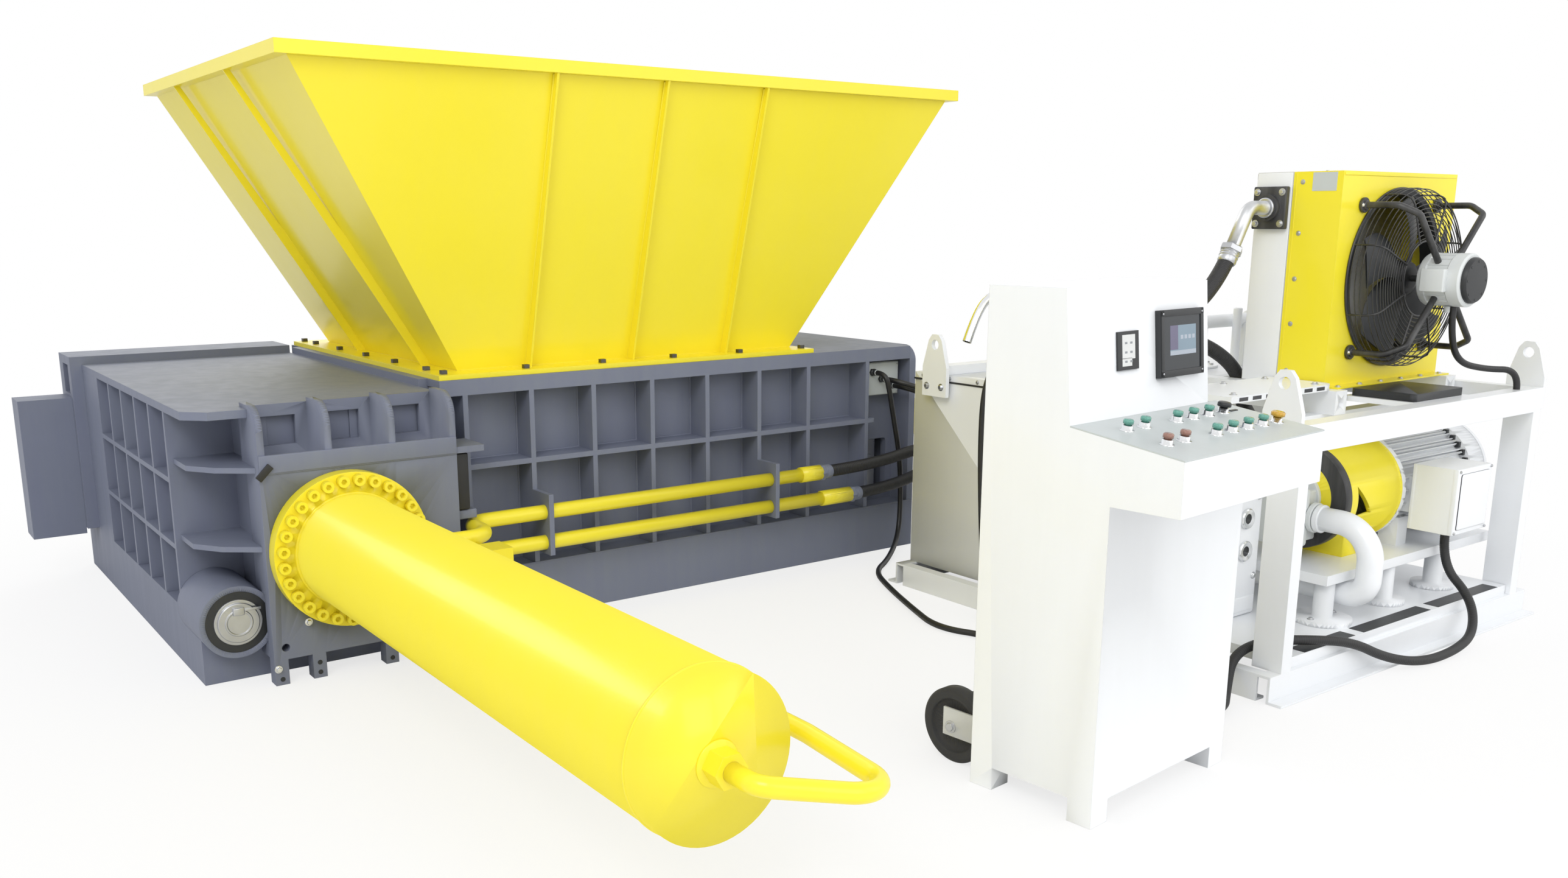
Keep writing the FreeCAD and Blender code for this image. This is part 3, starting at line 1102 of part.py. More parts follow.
subpart("motor", cut("motor_bored", fuse("motor_whole", *pieces),
                     rod("motor_bore", "x", s.shaft + s.shaft_gap, s.motor_start - 1,
                         s.motor_end - 40, shaft_line)))
subpart("motor_rotor", fuse("rotor_whole",
                            rod("rotor_shaft", "x", s.shaft, s.bell_start + 10, s.motor_end - 50,
                                shaft_line),
                            rod("rotor_coupling", "x", s.coupling, s.bell_start + 140,
                                s.bell_start + 140 + s.coupling_length, shaft_line)))
bell_end = s.motor_start
shell = cut("bell_hollow",
            fuse("bell_whole",
                 rod("bell_barrel", "x", s.bell_radius, s.bell_start, bell_end, shaft_line),
                 rod("bell_flange", "x", s.motor_flange, bell_end - 22, bell_end, shaft_line),
                 slab("bell_foot", (s.bell_start + 100, s.bell_start + 260),
                      (-s.motor_line - 160, -s.motor_line + 160),
                      (s.bed_top, s.motor_height - 120))),
            rod("bell_space", "x", s.bell_radius - s.bell_wall, s.bell_start + 24, bell_end + 1,
                shaft_line),
            rod("bell_eye", "x", s.shaft + 12, s.bell_start - 1, s.bell_start + 25, shaft_line))
side_window = [(s.bell_start + 90, s.motor_height + 60), (s.bell_start + 90, s.motor_height - 60),
               (s.bell_start + 210, s.motor_height - 60)]
top_window = [(s.bell_start + 90, -s.motor_line - 55), (s.bell_start + 210, -s.motor_line),
              (s.bell_start + 90, -s.motor_line + 55)]
subpart("bell_housing", cut("bell_windows", shell,
                            pad("bell_side_window", "XZ", side_window, -s.motor_line - 240,
                                -s.motor_line - 100),
                            pad("bell_top_window", "XY", top_window, s.motor_height + 100,
                                s.motor_height + 240)))
pump_y = (-s.motor_line - s.pump_half, -s.motor_line + s.pump_half)
pump = fuse("pump_whole",
            slab("pump_block", (s.pump_start, s.bell_start), pump_y, (s.pump_low, s.pump_high)),
            rod("pump_port", "y", 60, pump_y[0] - 20, pump_y[0] + 1,
                (s.suction_line, s.suction_high)))
ports = [rod("manifold_port", "y", 24, -s.manifold_front - 16, -s.manifold_front + 1,
             ((s.manifold_left + s.manifold_right) / 2, height)) for height in (540, 410)]
manifold = fuse("manifold_whole",
                rounded("manifold_block", (s.manifold_left, s.manifold_right),
                        (-s.manifold_front, -s.manifold_front + s.manifold_deep),
                        (s.tray_top, s.manifold_high), "y", s.manifold_round, [(0, 1), (1, 1)]),
                *ports)
subpart("pump", group("pump_set", pump, manifold))
suction = [(s.suction_line, pump_y[0] - 20, s.suction_high),
           (s.suction_line, -s.suction_reach, s.suction_high),
           (s.suction_line, -s.suction_reach, s.suction_low),
           (s.suction_line, -s.tank_front, s.suction_low)]
bends = [((s.suction_high - s.suction_low) / 2).value - 0.5, s.suction_bend.value]
subpart("suction_pipe", free_shape("suction_tube", pipe(suction, bends, s.suction)))

# ------------------------------------------------------------------ cooler and fan
width, height = (s.cooler_left, s.cooler_right), (s.bearer_top, s.cooler_top)
fan = (s.fan_x, s.fan_height)
elbow = [(s.cooler_left - 20, -s.elbow_line, s.elbow_height),
         (s.cooler_left - 170, -s.elbow_line, s.elbow_height),
         (s.cooler_left - 260, -s.elbow_line, s.elbow_height - 155)]
subpart("cooler_core", group(
    "cooler_set",
    slab("cooler_block", width, (-s.shroud_rear, -s.core_rear), height),
    fuse("elbow_whole",
         slab("elbow_flange", (s.cooler_left - 20, s.cooler_left),
              (-s.elbow_line - s.elbow_plate / 2 + 10, -s.elbow_line + s.elbow_plate / 2 - 10),
              (s.elbow_height - s.elbow_plate / 2, s.elbow_height + s.elbow_plate / 2)),
         free_shape("elbow_tube", pipe(elbow, [60], s.elbow_radius)))))
skin = s.shroud_sheet
shroud = cut("shroud_hollow",
             fuse("shroud_whole",
                  slab("shroud_block", width, (-s.shroud_front, -s.shroud_rear), height),
                  slab("shroud_lip", width, (-s.shroud_front - 60, -s.shroud_front + 1),
                       (s.bearer_top, s.bearer_top + skin))),
             slab("shroud_space", (s.cooler_left + skin, s.cooler_right - skin),
                  (-s.shroud_front + skin, -s.shroud_rear + 1),
                  (s.bearer_top + skin, s.cooler_top - skin)),
             rod("shroud_opening", "y", s.fan_opening, -s.shroud_front - 1,
                 -s.shroud_front + skin + 1, fan))
subpart("cooler_shroud", shroud)

wire = s.guard_wire
guard = []
for radius, rear, front_side in ((s.guard_radius, s.shroud_front, s.shroud_front + 12),
                                 (s.guard_radius, s.shroud_front + 60, s.shroud_front + 70),
                                 (s.guard_radius - 30, s.guard_front - 20, s.guard_front - 10),
                                 (s.guard_radius - 90, s.guard_front - 10, s.guard_front),
                                 (s.guard_radius - 150, s.guard_front - 10, s.guard_front),
                                 (s.guard_radius - 210, s.guard_front - 10, s.guard_front)):
    guard.append(tube("guard_ring", "y", radius, radius - wire * 2, -front_side, -rear, fan))
rear, front_side, radius = s.shroud_front, s.guard_front, s.guard_radius
bar = [(radius - 1, rear + 1), (radius - 1, rear + 66), (radius - 37, front_side - 1),
       (radius - 215, front_side - 1), (radius - 215, front_side - wire * 2 + 1),
       (radius - 42, front_side - wire * 2 + 1), (radius - wire * 2 + 1, rear + 62),
       (radius - wire * 2 + 1, rear + 1)]
spots = [V(formula(reach).value, -formula(out).value, -wire.value) for reach, out in bar]
for k in range(8):
    spoke = Part.Face(Part.makePolygon(spots + spots[:1])).extrude(V(0, 0, 2 * wire.value))
    guard.append(free_shape("guard_spoke", spoke, FreeCAD.Placement(
        V(s.fan_x.value, 0, s.fan_height.value), FreeCAD.Rotation(V(0, 1, 0), 45 * k + 22.5))))
subpart("fan_guard", fuse("fan_guard_whole", *guard))

rotor = [rod("fan_hub_disc", "y", s.fan_hub, -s.blade_front, -s.blade_rear, fan),
         rod("fan_shaft_bar", "y", s.fan_shaft, -s.fan_body_rear - 60, -s.blade_rear, fan)]
for k in range(5):
    turn = 72 * k
    swing_cos = round(math.cos(math.radians(turn)), 6)
    swing_sin = round(math.sin(math.radians(turn)), 6)
    blade = doc.addObject("Part::Box", "fan_blade")
    spin = FreeCAD.Rotation(V(0, 1, 0), -turn).multiply(FreeCAD.Rotation(V(1, 0, 0), 25))
    blade.Placement = FreeCAD.Placement(V(), spin)
    bind(blade, "Length", s.blade_tip - s.fan_hub + 12)
    bind(blade, "Width", 6)
    bind(blade, "Height", 130)
    corner = spin.multVec(V((s.fan_hub - 12).value, -3, -65))
    bind(blade, "Placement.Base.x", s.fan_x + corner.x)
    bind(blade, "Placement.Base.y", -(s.blade_front + s.blade_rear) / 2 + corner.y)
    bind(blade, "Placement.Base.z", s.fan_height + corner.z)
    rotor.append(blade)
subpart("fan_rotor", fuse("fan_rotor_whole", *rotor))

drive = [rod("fan_motor_barrel", "y", s.fan_body, -s.fan_body_front, -s.fan_body_rear, fan),
         rod("fan_motor_cap", "y", s.fan_cap, -s.fan_body_front - 22, -s.fan_body_front + 1, fan)]
for across in (-1, 1):
    for up in (-1, 1):
        px, pz = s.fan_x + s.pad_reach_x * across, s.fan_height + s.pad_reach_z * up
        arm = [(px, -s.shroud_front - 14, pz), (px, -s.strut_front, pz),
               (s.fan_x + 62 * across, -s.fan_body_rear - 25, s.fan_height + 62 * up)]
        drive += [free_shape("fan_arm", pipe(arm, [30], s.strut)),
                  rod("fan_pad", "y", s.pad_radius, -s.shroud_front - 15, -s.shroud_front,
                      (px, pz))]
subpart("fan_motor", cut("fan_motor_bored", fuse("fan_motor_whole", *drive),
                         rod("fan_motor_bore", "y", s.fan_shaft + s.shaft_gap,
                             -s.fan_body_rear - 62, -s.fan_body_rear + 1, fan)))

subpart("switch_box", rounded("switch_case", (s.switch_left, s.switch_right),
                              (-s.switch_front, -s.switch_rear),
                              (s.frame_top, s.frame_top + s.switch_high), "z", 20,
                              [(0, 0), (0, 1), (1, 0), (1, 1)]))

# ------------------------------------------------------------------ hoses and cables


def beside_console(along, back, height):
    """A point given in the console's own axes, in the frame of the whole baler."""
    along, back = formula(along), formula(back)
    return (s.console_x + turn_cos * along - turn_sin * back,
            -s.console_y + turn_sin * along + turn_cos * back, height)


def console_end(number, run):
    """The last two points of a cable that enters a port on the console's rear, a run apart."""
    along = s.console_port_first + s.console_port_pitch * number
    rear = s.console_depth + s.console_port_length
    return [beside_console(along, rear + run, s.console_port_height),
            beside_console(along, rear, s.console_port_height)]


line = -supply_line
upper_hose = [(s.supply_high_end + s.fitting_length, line, s.supply_high), (2680, line, 480),
              (3000, -1080, 545), (3300, -1250, 580), (3300, port_rear, 580)]
lower_hose = [(s.supply_low_end + s.fitting_length + 60, line, s.supply_low), (2800, line, 350),
              (3080, -1090, 440), (3420, -1260, 480), (3420, port_rear, 480)]
subpart("power_hoses", group("power_hose_pair",
                             free_shape("upper_hose", cord("upper hose", upper_hose, s.hose)),
                             free_shape("lower_hose", cord("lower hose", lower_hose, s.hose))))

cooler_line = [elbow[2], (3020, -2710, 1565 - 80 * 155 / 90), (2850, -2660, 1280),
               (2800, -2460, 1200), (2800, -2300, 1160), (2800, -2300, port_top)]
subpart("cooler_hose", free_shape("cooler_hose_tube",
                                  cord("cooler hose", cooler_line, s.cooler_hose)))
tank_line = [(2950, -2330, port_top), (2950, -2330, 1180), (3180, -2480, 1200),
             (3420, -2570, 1060), (3430, -2600, 870), (3195, -2880, 830),
             (3195, -2880, s.pump_high)]
subpart("tank_hose", free_shape("tank_hose_tube", cord("tank hose", tank_line, s.tank_hose)))

conduit_line = [(3870, -3300, s.box_low - 30), (3870, -3300, 270), (3850, -3445, 160),
                (3740, -3520, 50), (3540, -3545, 22), (3310, -3535, 20), (3130, -3485, 60),
                (2960, -3442, 146), (2770, -3378, 174), (2640, -3278, 170), (2480, -3262, 142),
                (2400, -3300, 40), (2240, -3400, 20), beside_console(869, 312, 20),
                beside_console(790, 560, 20), beside_console(640, 745, 22),
                beside_console(480, 760, 90)] + console_end(2, 144)
subpart("motor_conduit", free_shape("conduit_tube",
                                    cord("motor conduit", conduit_line, s.conduit)))


def junction_gland(number):
    """The outer end of a gland on the junction box."""
    along, up = ((0.25, 0.72), (0.5, 0.5), (0.75, 0.28))[number]
    return (s.junction_left + wide_box * along, box_front - s.gland_length,
            s.junction_low + tall_box * up)


wide_box, tall_box = s.junction_right - s.junction_left, s.junction_high - s.junction_low
first, second, third = [junction_gland(k) for k in range(3)]
floor_cable = [first, (first[0], -995, first[2]), (2835, -1002, 835), (2880, -985, 700),
               (2935, -983, 480), (2945, -985, 240), (2900, -1020, 70), (2700, -1170, 16),
               (2500, -1300, 15), (2370, -1540, 15), (2230, -1850, 15), (2120, -2120, 15),
               (2230, -2340, 15), (2150, -2600, 15), (1970, -2790, 15),
               beside_console(620, 845, 15), beside_console(400, 850, 50)] + console_end(0, 192)
tank_cable = [(2640, -2000, port_top), (2640, -2000, 1080), (2540, -1985, 1078),
              (2508, -1960, 960), (2512, -1950, 740), (2505, -1975, 440), (2490, -2010, 230),
              (2420, -2080, 60), (2330, -2240, 15), (2300, -2500, 15), (2200, -2750, 15),
              (2010, -2880, 15), beside_console(640, 795, 15),
              beside_console(470, 800, 60)] + console_end(1, 168)
second_cable = [second, (second[0], -1000, second[2]), (2960, -1080, 850), (3100, -1220, 790),
                (3150, -1360, 760), (3150, port_rear, 760)]
third_cable = [third, (third[0], -995, third[2]), (3020, -1065, 810), (3170, -1210, 745),
               (3240, -1355, 700), (3240, port_rear, 700)]
fan_cable = [(s.fan_x, -3260, s.fan_height - s.fan_body), (s.fan_x, -3260, 1235),
             (3860, -3270, 1110), (4020, -3310, 1075),
             (4150, -3384, 1072), (4150, -3384, s.frame_top)]
cables = [free_shape("cable", cord(name, points, s.cable)) for name, points in (
    ("floor cable", floor_cable), ("tank cable", tank_cable), ("second cable", second_cable),
    ("third cable", third_cable), ("fan cable", fan_cable))]
subpart("control_cables", group("cable_set", *cables))

doc.recompute()
faulty = [item.Name for item in doc.Objects if "Invalid" in item.State or "Error" in item.State]
if faulty:
    raise RuntimeError(f"objects that don't compute: {faulty}")
os.makedirs("parts", exist_ok=True)
for thing in SUBPARTS:
    if not thing.Shape.isValid() or thing.Shape.Volume <= 0:
        raise RuntimeError(f"the shape of {thing.Label} isn't valid")
    Part.export([thing], f"parts/{thing.Label}.step")
print(f"{len(SUBPARTS)} sub-parts")
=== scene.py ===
# %% [markdown]
# # Dressing a recycling baler
# A two-way hydraulic press stands on the left with its hopper, a power pack with a fan cooler on
# the right, and a control console in front.  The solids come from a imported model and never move.
# This lesson gives them paint, steel and rubber, and adds what a solid is too plain for: hoses,
# bolts, a wire guard, fan blades, fins and a screen.

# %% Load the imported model
import itertools
import json
import math
import bmesh
import bpy
import numpy as np
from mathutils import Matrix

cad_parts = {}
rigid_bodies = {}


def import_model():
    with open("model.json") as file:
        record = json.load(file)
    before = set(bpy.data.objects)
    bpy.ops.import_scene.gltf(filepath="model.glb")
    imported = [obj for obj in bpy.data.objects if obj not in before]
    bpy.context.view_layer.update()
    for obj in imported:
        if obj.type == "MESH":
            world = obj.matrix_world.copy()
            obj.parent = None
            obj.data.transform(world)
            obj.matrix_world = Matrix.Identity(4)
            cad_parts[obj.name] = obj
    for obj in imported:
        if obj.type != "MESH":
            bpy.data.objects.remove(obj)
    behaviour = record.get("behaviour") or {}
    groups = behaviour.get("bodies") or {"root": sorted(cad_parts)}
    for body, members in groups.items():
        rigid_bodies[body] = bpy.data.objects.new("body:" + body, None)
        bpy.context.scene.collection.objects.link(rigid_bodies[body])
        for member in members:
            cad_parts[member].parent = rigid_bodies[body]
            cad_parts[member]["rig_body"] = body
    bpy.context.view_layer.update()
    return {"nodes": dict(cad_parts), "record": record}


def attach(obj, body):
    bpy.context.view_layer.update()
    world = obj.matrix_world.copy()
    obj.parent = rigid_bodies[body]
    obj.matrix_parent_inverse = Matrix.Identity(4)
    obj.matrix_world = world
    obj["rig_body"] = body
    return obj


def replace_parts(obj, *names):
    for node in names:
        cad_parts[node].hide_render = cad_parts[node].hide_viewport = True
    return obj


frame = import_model()
scene = bpy.context.scene

# %% [markdown]
# ## Camera
# The photograph was taken from eye height, a little left of the long yellow cylinder, looking
# 36 degrees to the right and 13 down.  Its middle is not the lens's axis, which a small shift
# copies, so the verticals converge as they do in the photograph.

# %% Camera
camera_data = bpy.data.cameras.new("photo_camera")
camera_data.sensor_width = 36
camera_data.lens = 29.88
camera_data.shift_x, camera_data.shift_y = 0.0214, 0.0454
camera = bpy.data.objects.new("photo_camera", camera_data)
camera.location = (-1.554, -5.855, 1.68)
camera.rotation_euler = [math.radians(a) for a in (77.35, 0, -36)]
scene.collection.objects.link(camera)
scene.camera = camera
scene.view_settings.view_transform = "Standard"

# %% [markdown]
# ## Writing shader maths as Python
# A material is a small sum: paint colour, plus dust, minus a scratch.  `Wire` wraps one output
# socket, and its operators add Math nodes, so the sum can be written as it is said.  `Nodes`
# holds the node tree and makes every other node with one method.


# %% Shader helpers
class Wire:
    """An output socket that can be added, multiplied and compared; each sum adds a Math node."""

    def __init__(self, nodes, socket):
        self.nodes, self.socket = nodes, socket

    def __add__(self, other):
        return self.nodes.math("ADD", self, other)

    def __sub__(self, other):
        return self.nodes.math("SUBTRACT", self, other)

    def __rsub__(self, other):
        return self.nodes.math("SUBTRACT", other, self)

    def __mul__(self, other):
        return self.nodes.math("MULTIPLY", self, other)

    def __pow__(self, other):
        return self.nodes.math("POWER", self, other)

    __radd__ = __add__

    def over(self, limit, soft=0.05):
        """0 below the limit and 1 above it, with a soft step between."""
        return self.nodes.math("MULTIPLY", self - (limit - soft), 0.5 / soft, clamp=True)


class Nodes:
    """A node tree written down node by node."""

    def __init__(self, owner):
        owner.use_nodes = True
        self.tree = owner.node_tree

    def node(self, kind, settings=(), sockets=(), output=0):
        """A node of a kind: its settings first, then its sockets' values or links."""
        made = self.tree.nodes.new("ShaderNode" + kind)
        for key, value in dict(settings).items():
            setattr(made, key, value)
        for key, value in dict(sockets).items():
            self.plug(made.inputs[key], value)
        return Wire(self, made.outputs[output])

    def plug(self, socket, value):
        if isinstance(value, Wire):
            self.tree.links.new(value.socket, socket)
        else:
            socket.default_value = value

    def math(self, operation, first, second=0.0, clamp=False):
        return self.node("Math", {"operation": operation, "use_clamp": clamp},
                         {0: first, 1: second})


class Finish(Nodes):
    """A material round one shader, with the textures that paints, metals and rubbers share."""

    def __init__(self, name):
        self.material = bpy.data.materials.new(name)
        super().__init__(self.material)
        self.shader = self.tree.nodes["Principled BSDF"]
        self.where = self.node("TexCoord", output="Object")

    def mix(self, mask, first, second):
        """The first colour where the mask is 0, the second where it is 1."""
        colours = [c if isinstance(c, Wire) else (*c, 1) for c in (first, second)]
        return self.node("Mix", {"data_type": "RGBA"}, {0: mask, 6: colours[0], 7: colours[1]}, 2)

    def stretched(self, scale):
        """Object coordinates, stretched along the axes."""
        return self.node("Mapping", sockets={"Vector": self.where, "Scale": scale})

    def noise(self, scale, detail=3.0, rough=0.55, at=None):
        return self.node("TexNoise", sockets={"Vector": at or self.where, "Scale": scale,
                                              "Detail": detail, "Roughness": rough})

    def part(self, axis):
        """One object coordinate as a number."""
        return self.node("SeparateXYZ", sockets={0: self.where}, output=axis)

    def bump(self, height, distance, strength=1.0, under=None):
        sockets = {"Height": height, "Distance": distance, "Strength": strength}
        if under is not None:
            sockets["Normal"] = under
        return self.node("Bump", sockets=sockets)

    def rounded_edge(self, radius):
        """The normal of edges that are rounded over by a radius."""
        return self.node("Bevel", {"samples": 4}, {"Radius": radius})

    def edge_mask(self, soft_normal, gain):
        """1 on sharp edges: one minus the cosine between the rounded and the flat normal."""
        flat = self.node("NewGeometry", output="Normal")
        same = self.node("VectorMath", {"operation": "DOT_PRODUCT"}, {0: soft_normal, 1: flat},
                         "Value")
        return self.math("MULTIPLY", 0.96 - same, gain, clamp=True)

    def set(self, **values):
        for key, value in values.items():
            name = key.replace("_", " ").title().replace("Ior", "IOR")
            if not isinstance(value, (Wire, float, int)):
                value = (*value, 1)
            self.plug(self.shader.inputs[name], value)
        return self.material


# %% [markdown]
# ## Enamel
# Sprayed machine enamel is never one flat colour.  It is cloudy over half a metre, has the fine
# skin of an orange close up, and is thin and scuffed on edges.  The clouds and the skin are
# noise.  The edges come from a Bevel node and are painted paler, partly as worn paint and partly
# as a painted highlight where they catch the light.  The Bevel node also softens the highlights
# of plates that the solids leave knife-sharp.


# %% Enamel finishes
def enamel(name, colour, gloss, edge, clouds=0.1, dust=(0.5, 0.5, 0.48), dusty=0.1, coat=0.0,
           shine=0.5):
    """Sprayed paint: colour x clouds, paler on edges as worn paint and a painted highlight, with
    upright streaks of dust.
    """
    paint = Finish(name)
    soft = paint.rounded_edge(0.0022)
    cloud = paint.noise(1.7, 4)
    speck = paint.noise(95, 2)
    streak = paint.noise(1, 4, 0.6, paint.stretched((16, 16, 1.6)))
    dark = [c * (1 - clouds) for c in colour]
    pale = [min(1, c * (1 + clouds * 0.6) + 0.004) for c in colour]
    skin = paint.mix(cloud, dark, pale)
    # Paler edges: partly worn paint, partly a painted highlight where edges catch the light.
    worn_and_highlit_edge = paint.edge_mask(soft, 5.0) * paint.noise(22, 4).over(0.45, 0.12)
    skin = paint.mix(worn_and_highlit_edge * 0.55, skin, edge)
    film = paint.math("MULTIPLY", streak.over(0.52, 0.14), dusty, clamp=True)
    skin = paint.mix(film, skin, dust)
    rough = gloss + (cloud - 0.5) * 0.12 + film * 0.5 + worn_and_highlit_edge * 0.12
    relief = paint.bump(speck, 0.0006, 0.35, soft)
    return paint.set(base_color=skin, roughness=rough, normal=relief, coat_weight=coat,
                     coat_roughness=0.12, specular_ior_level=shine)


def steel(name, colour, rough, brushed=(3, 3, 160), bruise=0.25):
    """Bare metal: fine lines along one axis, and darker bruises."""
    metal = Finish(name)
    soft = metal.rounded_edge(0.0025)
    lines = metal.noise(1, 3, 0.6, metal.stretched(brushed))
    bruises = metal.noise(9, 4).over(0.55, 0.15)
    skin = metal.mix(bruises * bruise, colour, [c * 0.45 for c in colour])
    return metal.set(base_color=skin, metallic=1.0, normal=metal.bump(lines, 0.0004, 0.5, soft),
                     roughness=rough + (lines - 0.5) * 0.25 + bruises * 0.08)


def moulded(name, colour, rough, grain=420.0, sheen=0.0, depth=0.0004):
    """Plastic or rubber: a fine even grain, slightly greyed where it is handled."""
    body = Finish(name)
    soft = body.rounded_edge(0.0015)
    grey = body.noise(6, 4)
    skin = body.mix(grey.over(0.5, 0.2) * 0.35, colour, [c * 0.7 + 0.012 for c in colour])
    relief = body.bump(body.noise(grain, 2), depth, 0.5, soft)
    return body.set(base_color=skin, roughness=rough + (grey - 0.5) * 0.16, normal=relief,
                    sheen_weight=sheen)


def lens(name, colour):
    """A coloured cap: clear plastic over two tones of the colour, with a fine grain."""
    cap = Finish(name)
    tone = cap.noise(160, 2)
    skin = cap.mix(tone, [c * 0.75 for c in colour], [min(1, c * 1.2) for c in colour])
    return cap.set(base_color=skin, roughness=0.22 + tone * 0.1, coat_weight=0.6,
                   coat_roughness=0.08, normal=cap.bump(tone, 0.0003, 0.4))


def lit(name, colour, strength, rough=0.12):
    """A display: a glossy face with a faint glow; the lighter patches of its colour and glow are a
    painted reflection.
    """
    glass = Finish(name)
    tone = glass.noise(7, 2)
    # The noise's lighter patches, in colour and glow alike, are a painted reflection.
    skin = glass.mix(tone, [c * 0.8 for c in colour], colour)
    return glass.set(base_color=skin, roughness=rough + tone * 0.06, emission_color=skin,
                     emission_strength=strength)


# Each enamel's edge colour is paler than its paint: partly worn paint, partly a painted highlight.
RECIPES = {
    "grey_blue_paint": (enamel, (0.19, 0.208, 0.28), 0.46, (0.34, 0.36, 0.43), 0.12,
                        (0.24, 0.27, 0.29), 0.18, 0.0, 0.22),
    "yellow_paint": (enamel, (0.935, 0.8, 0.03), 0.31, (0.96, 0.88, 0.2), 0.03,
                     (0.84, 0.72, 0.12), 0.05, 0.22, 0.4),
    "white_paint": (enamel, (0.87, 0.89, 0.915), 0.33, (0.93, 0.94, 0.93), 0.03,
                    (0.7, 0.71, 0.7), 0.05, 0.25),
    "plate_grey": (enamel, (0.56, 0.6, 0.6), 0.38, (0.74, 0.76, 0.76), 0.05),
    "motor_grey": (enamel, (0.7, 0.73, 0.73), 0.4, (0.8, 0.82, 0.82), 0.06),
    "black_iron": (enamel, (0.028, 0.028, 0.03), 0.5, (0.12, 0.12, 0.12), 0.2),
    "black_wire": (enamel, (0.016, 0.016, 0.017), 0.34, (0.07, 0.07, 0.07), 0.1),
    "bare_steel": (steel, (0.55, 0.56, 0.58), 0.3),
    "dark_steel": (steel, (0.12, 0.12, 0.13), 0.42, (30, 30, 30)),
    "chrome_ring": (steel, (0.8, 0.81, 0.82), 0.14, (20, 20, 400), 0.05),
    "core_aluminium": (steel, (0.62, 0.63, 0.64), 0.38, (60, 60, 60)),
    "black_rubber": (moulded, (0.014, 0.014, 0.015), 0.52, 300.0, 0.05),
    "rubber_wheel": (moulded, (0.024, 0.024, 0.025), 0.72, 150.0, 0.1, 0.001),
    "black_plastic": (moulded, (0.02, 0.022, 0.024), 0.42),
    "grey_plastic": (moulded, (0.22, 0.22, 0.26), 0.45),
    "green_lens": (lens, (0.11, 0.34, 0.27)),
    "red_lens": (lens, (0.3, 0.15, 0.11)),
    "amber_lens": (lens, (0.6, 0.34, 0.02)),
    "screen_dark": (lit, (0.035, 0.04, 0.045), 0.0),
    "screen_blue": (lit, (0.2, 0.27, 0.33), 0.25),
    "screen_plum": (lit, (0.13, 0.12, 0.19), 0.25),
    "screen_pale": (lit, (0.36, 0.4, 0.46), 0.25),
    "label_white": (lit, (0.78, 0.79, 0.78), 0.0, 0.4),
    "label_mark": (lit, (0.3, 0.32, 0.34), 0.0, 0.4),
}
FINISHES = {name: recipe(name, *values) for name, (recipe, *values) in RECIPES.items()}
print(len(FINISHES), "finishes")

# %% [markdown]
# ## Surfaces from two parameters
# Every added piece is a set of patches.  A patch is a grid of points: the first parameter runs
# along the piece, the second runs round it and closes.  Where the first and last rows shrink to
# one point, or meet each other, merging the doubles leaves a closed skin with no stray faces.


# %% From patches to a piece
RIGHT, BACK, UP = np.eye(3)
LEFT, OUT, DOWN = -np.eye(3)


def finished(name, mesh, work, slot, body, keep_angle):
    """An object from a worked mesh: smooth up to an angle, painted, and on its body."""
    work.to_mesh(mesh)
    work.free()
    mesh.polygons.foreach_set("use_smooth", [True] * len(mesh.polygons))
    mesh.set_sharp_from_angle(angle=math.radians(keep_angle))
    mesh.materials.append(FINISHES[slot])
    piece = bpy.data.objects.new(name, mesh)
    scene.collection.objects.link(piece)
    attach(piece, body)
    return piece


def make(name, patches, slot, body="body", keep_angle=35, replaces=()):
    """One piece from patches; each patch closes round its second parameter."""
    points, quads, start = [], [], 0
    for grid in patches:
        rows, columns = grid.shape[:2]
        index = start + np.arange(rows * columns).reshape(rows, columns)
        ahead = np.roll(index, -1, axis=1)
        quads.append(np.stack([index[:-1], ahead[:-1], ahead[1:], index[1:]], -1).reshape(-1, 4))
        points.append(grid.reshape(-1, 3))
        start += rows * columns
    mesh = bpy.data.meshes.new(name)
    mesh.from_pydata(np.concatenate(points).tolist(), [], np.concatenate(quads).tolist())
    work = bmesh.new()
    work.from_mesh(mesh)
    bmesh.ops.remove_doubles(work, verts=work.verts, dist=2e-5)
    bmesh.ops.dissolve_degenerate(work, dist=1e-6, edges=work.edges)
    bmesh.ops.recalc_face_normals(work, faces=work.faces)
    piece = finished(name, mesh, work, slot, body, keep_angle)
    if replaces:
        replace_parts(piece, *replaces)
    return piece


def across_to(direction):
    """A direction at unit length, and two unit vectors square to it and to each other."""
    direction = np.array(direction, float) / np.linalg.norm(direction)
    side = np.cross(UP if abs(direction[2]) < 0.9 else RIGHT, direction)
    side /= np.linalg.norm(side)
    return direction, side, np.cross(direction, side)


def capped(rows):
    """Rows of points, closed at both ends by a row shrunk to its middle."""
    ends = [np.broadcast_to(rows[k].mean(0), rows[:1].shape) for k in (0, -1)]
    return np.concatenate([ends[0], rows, ends[1]])


def spots(*axes):
    """Every combination of the x, y and z values, each axis given as one value or several."""
    return list(itertools.product(*(np.atleast_1d(values) for values in axes)))


def turns(count):
    """Angles that share a full turn evenly."""
    return np.arange(count) * 2 * math.pi / count


def lathe(profile, centre, direction, sides=48, start=0.0):
    """A turned patch: (radius, height) points carried round an axis.
    point = centre + height x axis + radius x (cos angle x side + sin angle x up)"""
    axis, side, up = across_to(direction)
    radius, height = np.array(profile, float).T
    angle = start + turns(sides)
    spokes = np.cos(angle)[:, None] * side + np.sin(angle)[:, None] * up
    return np.array(centre) + height[:, None, None] * axis + radius[:, None, None] * spokes


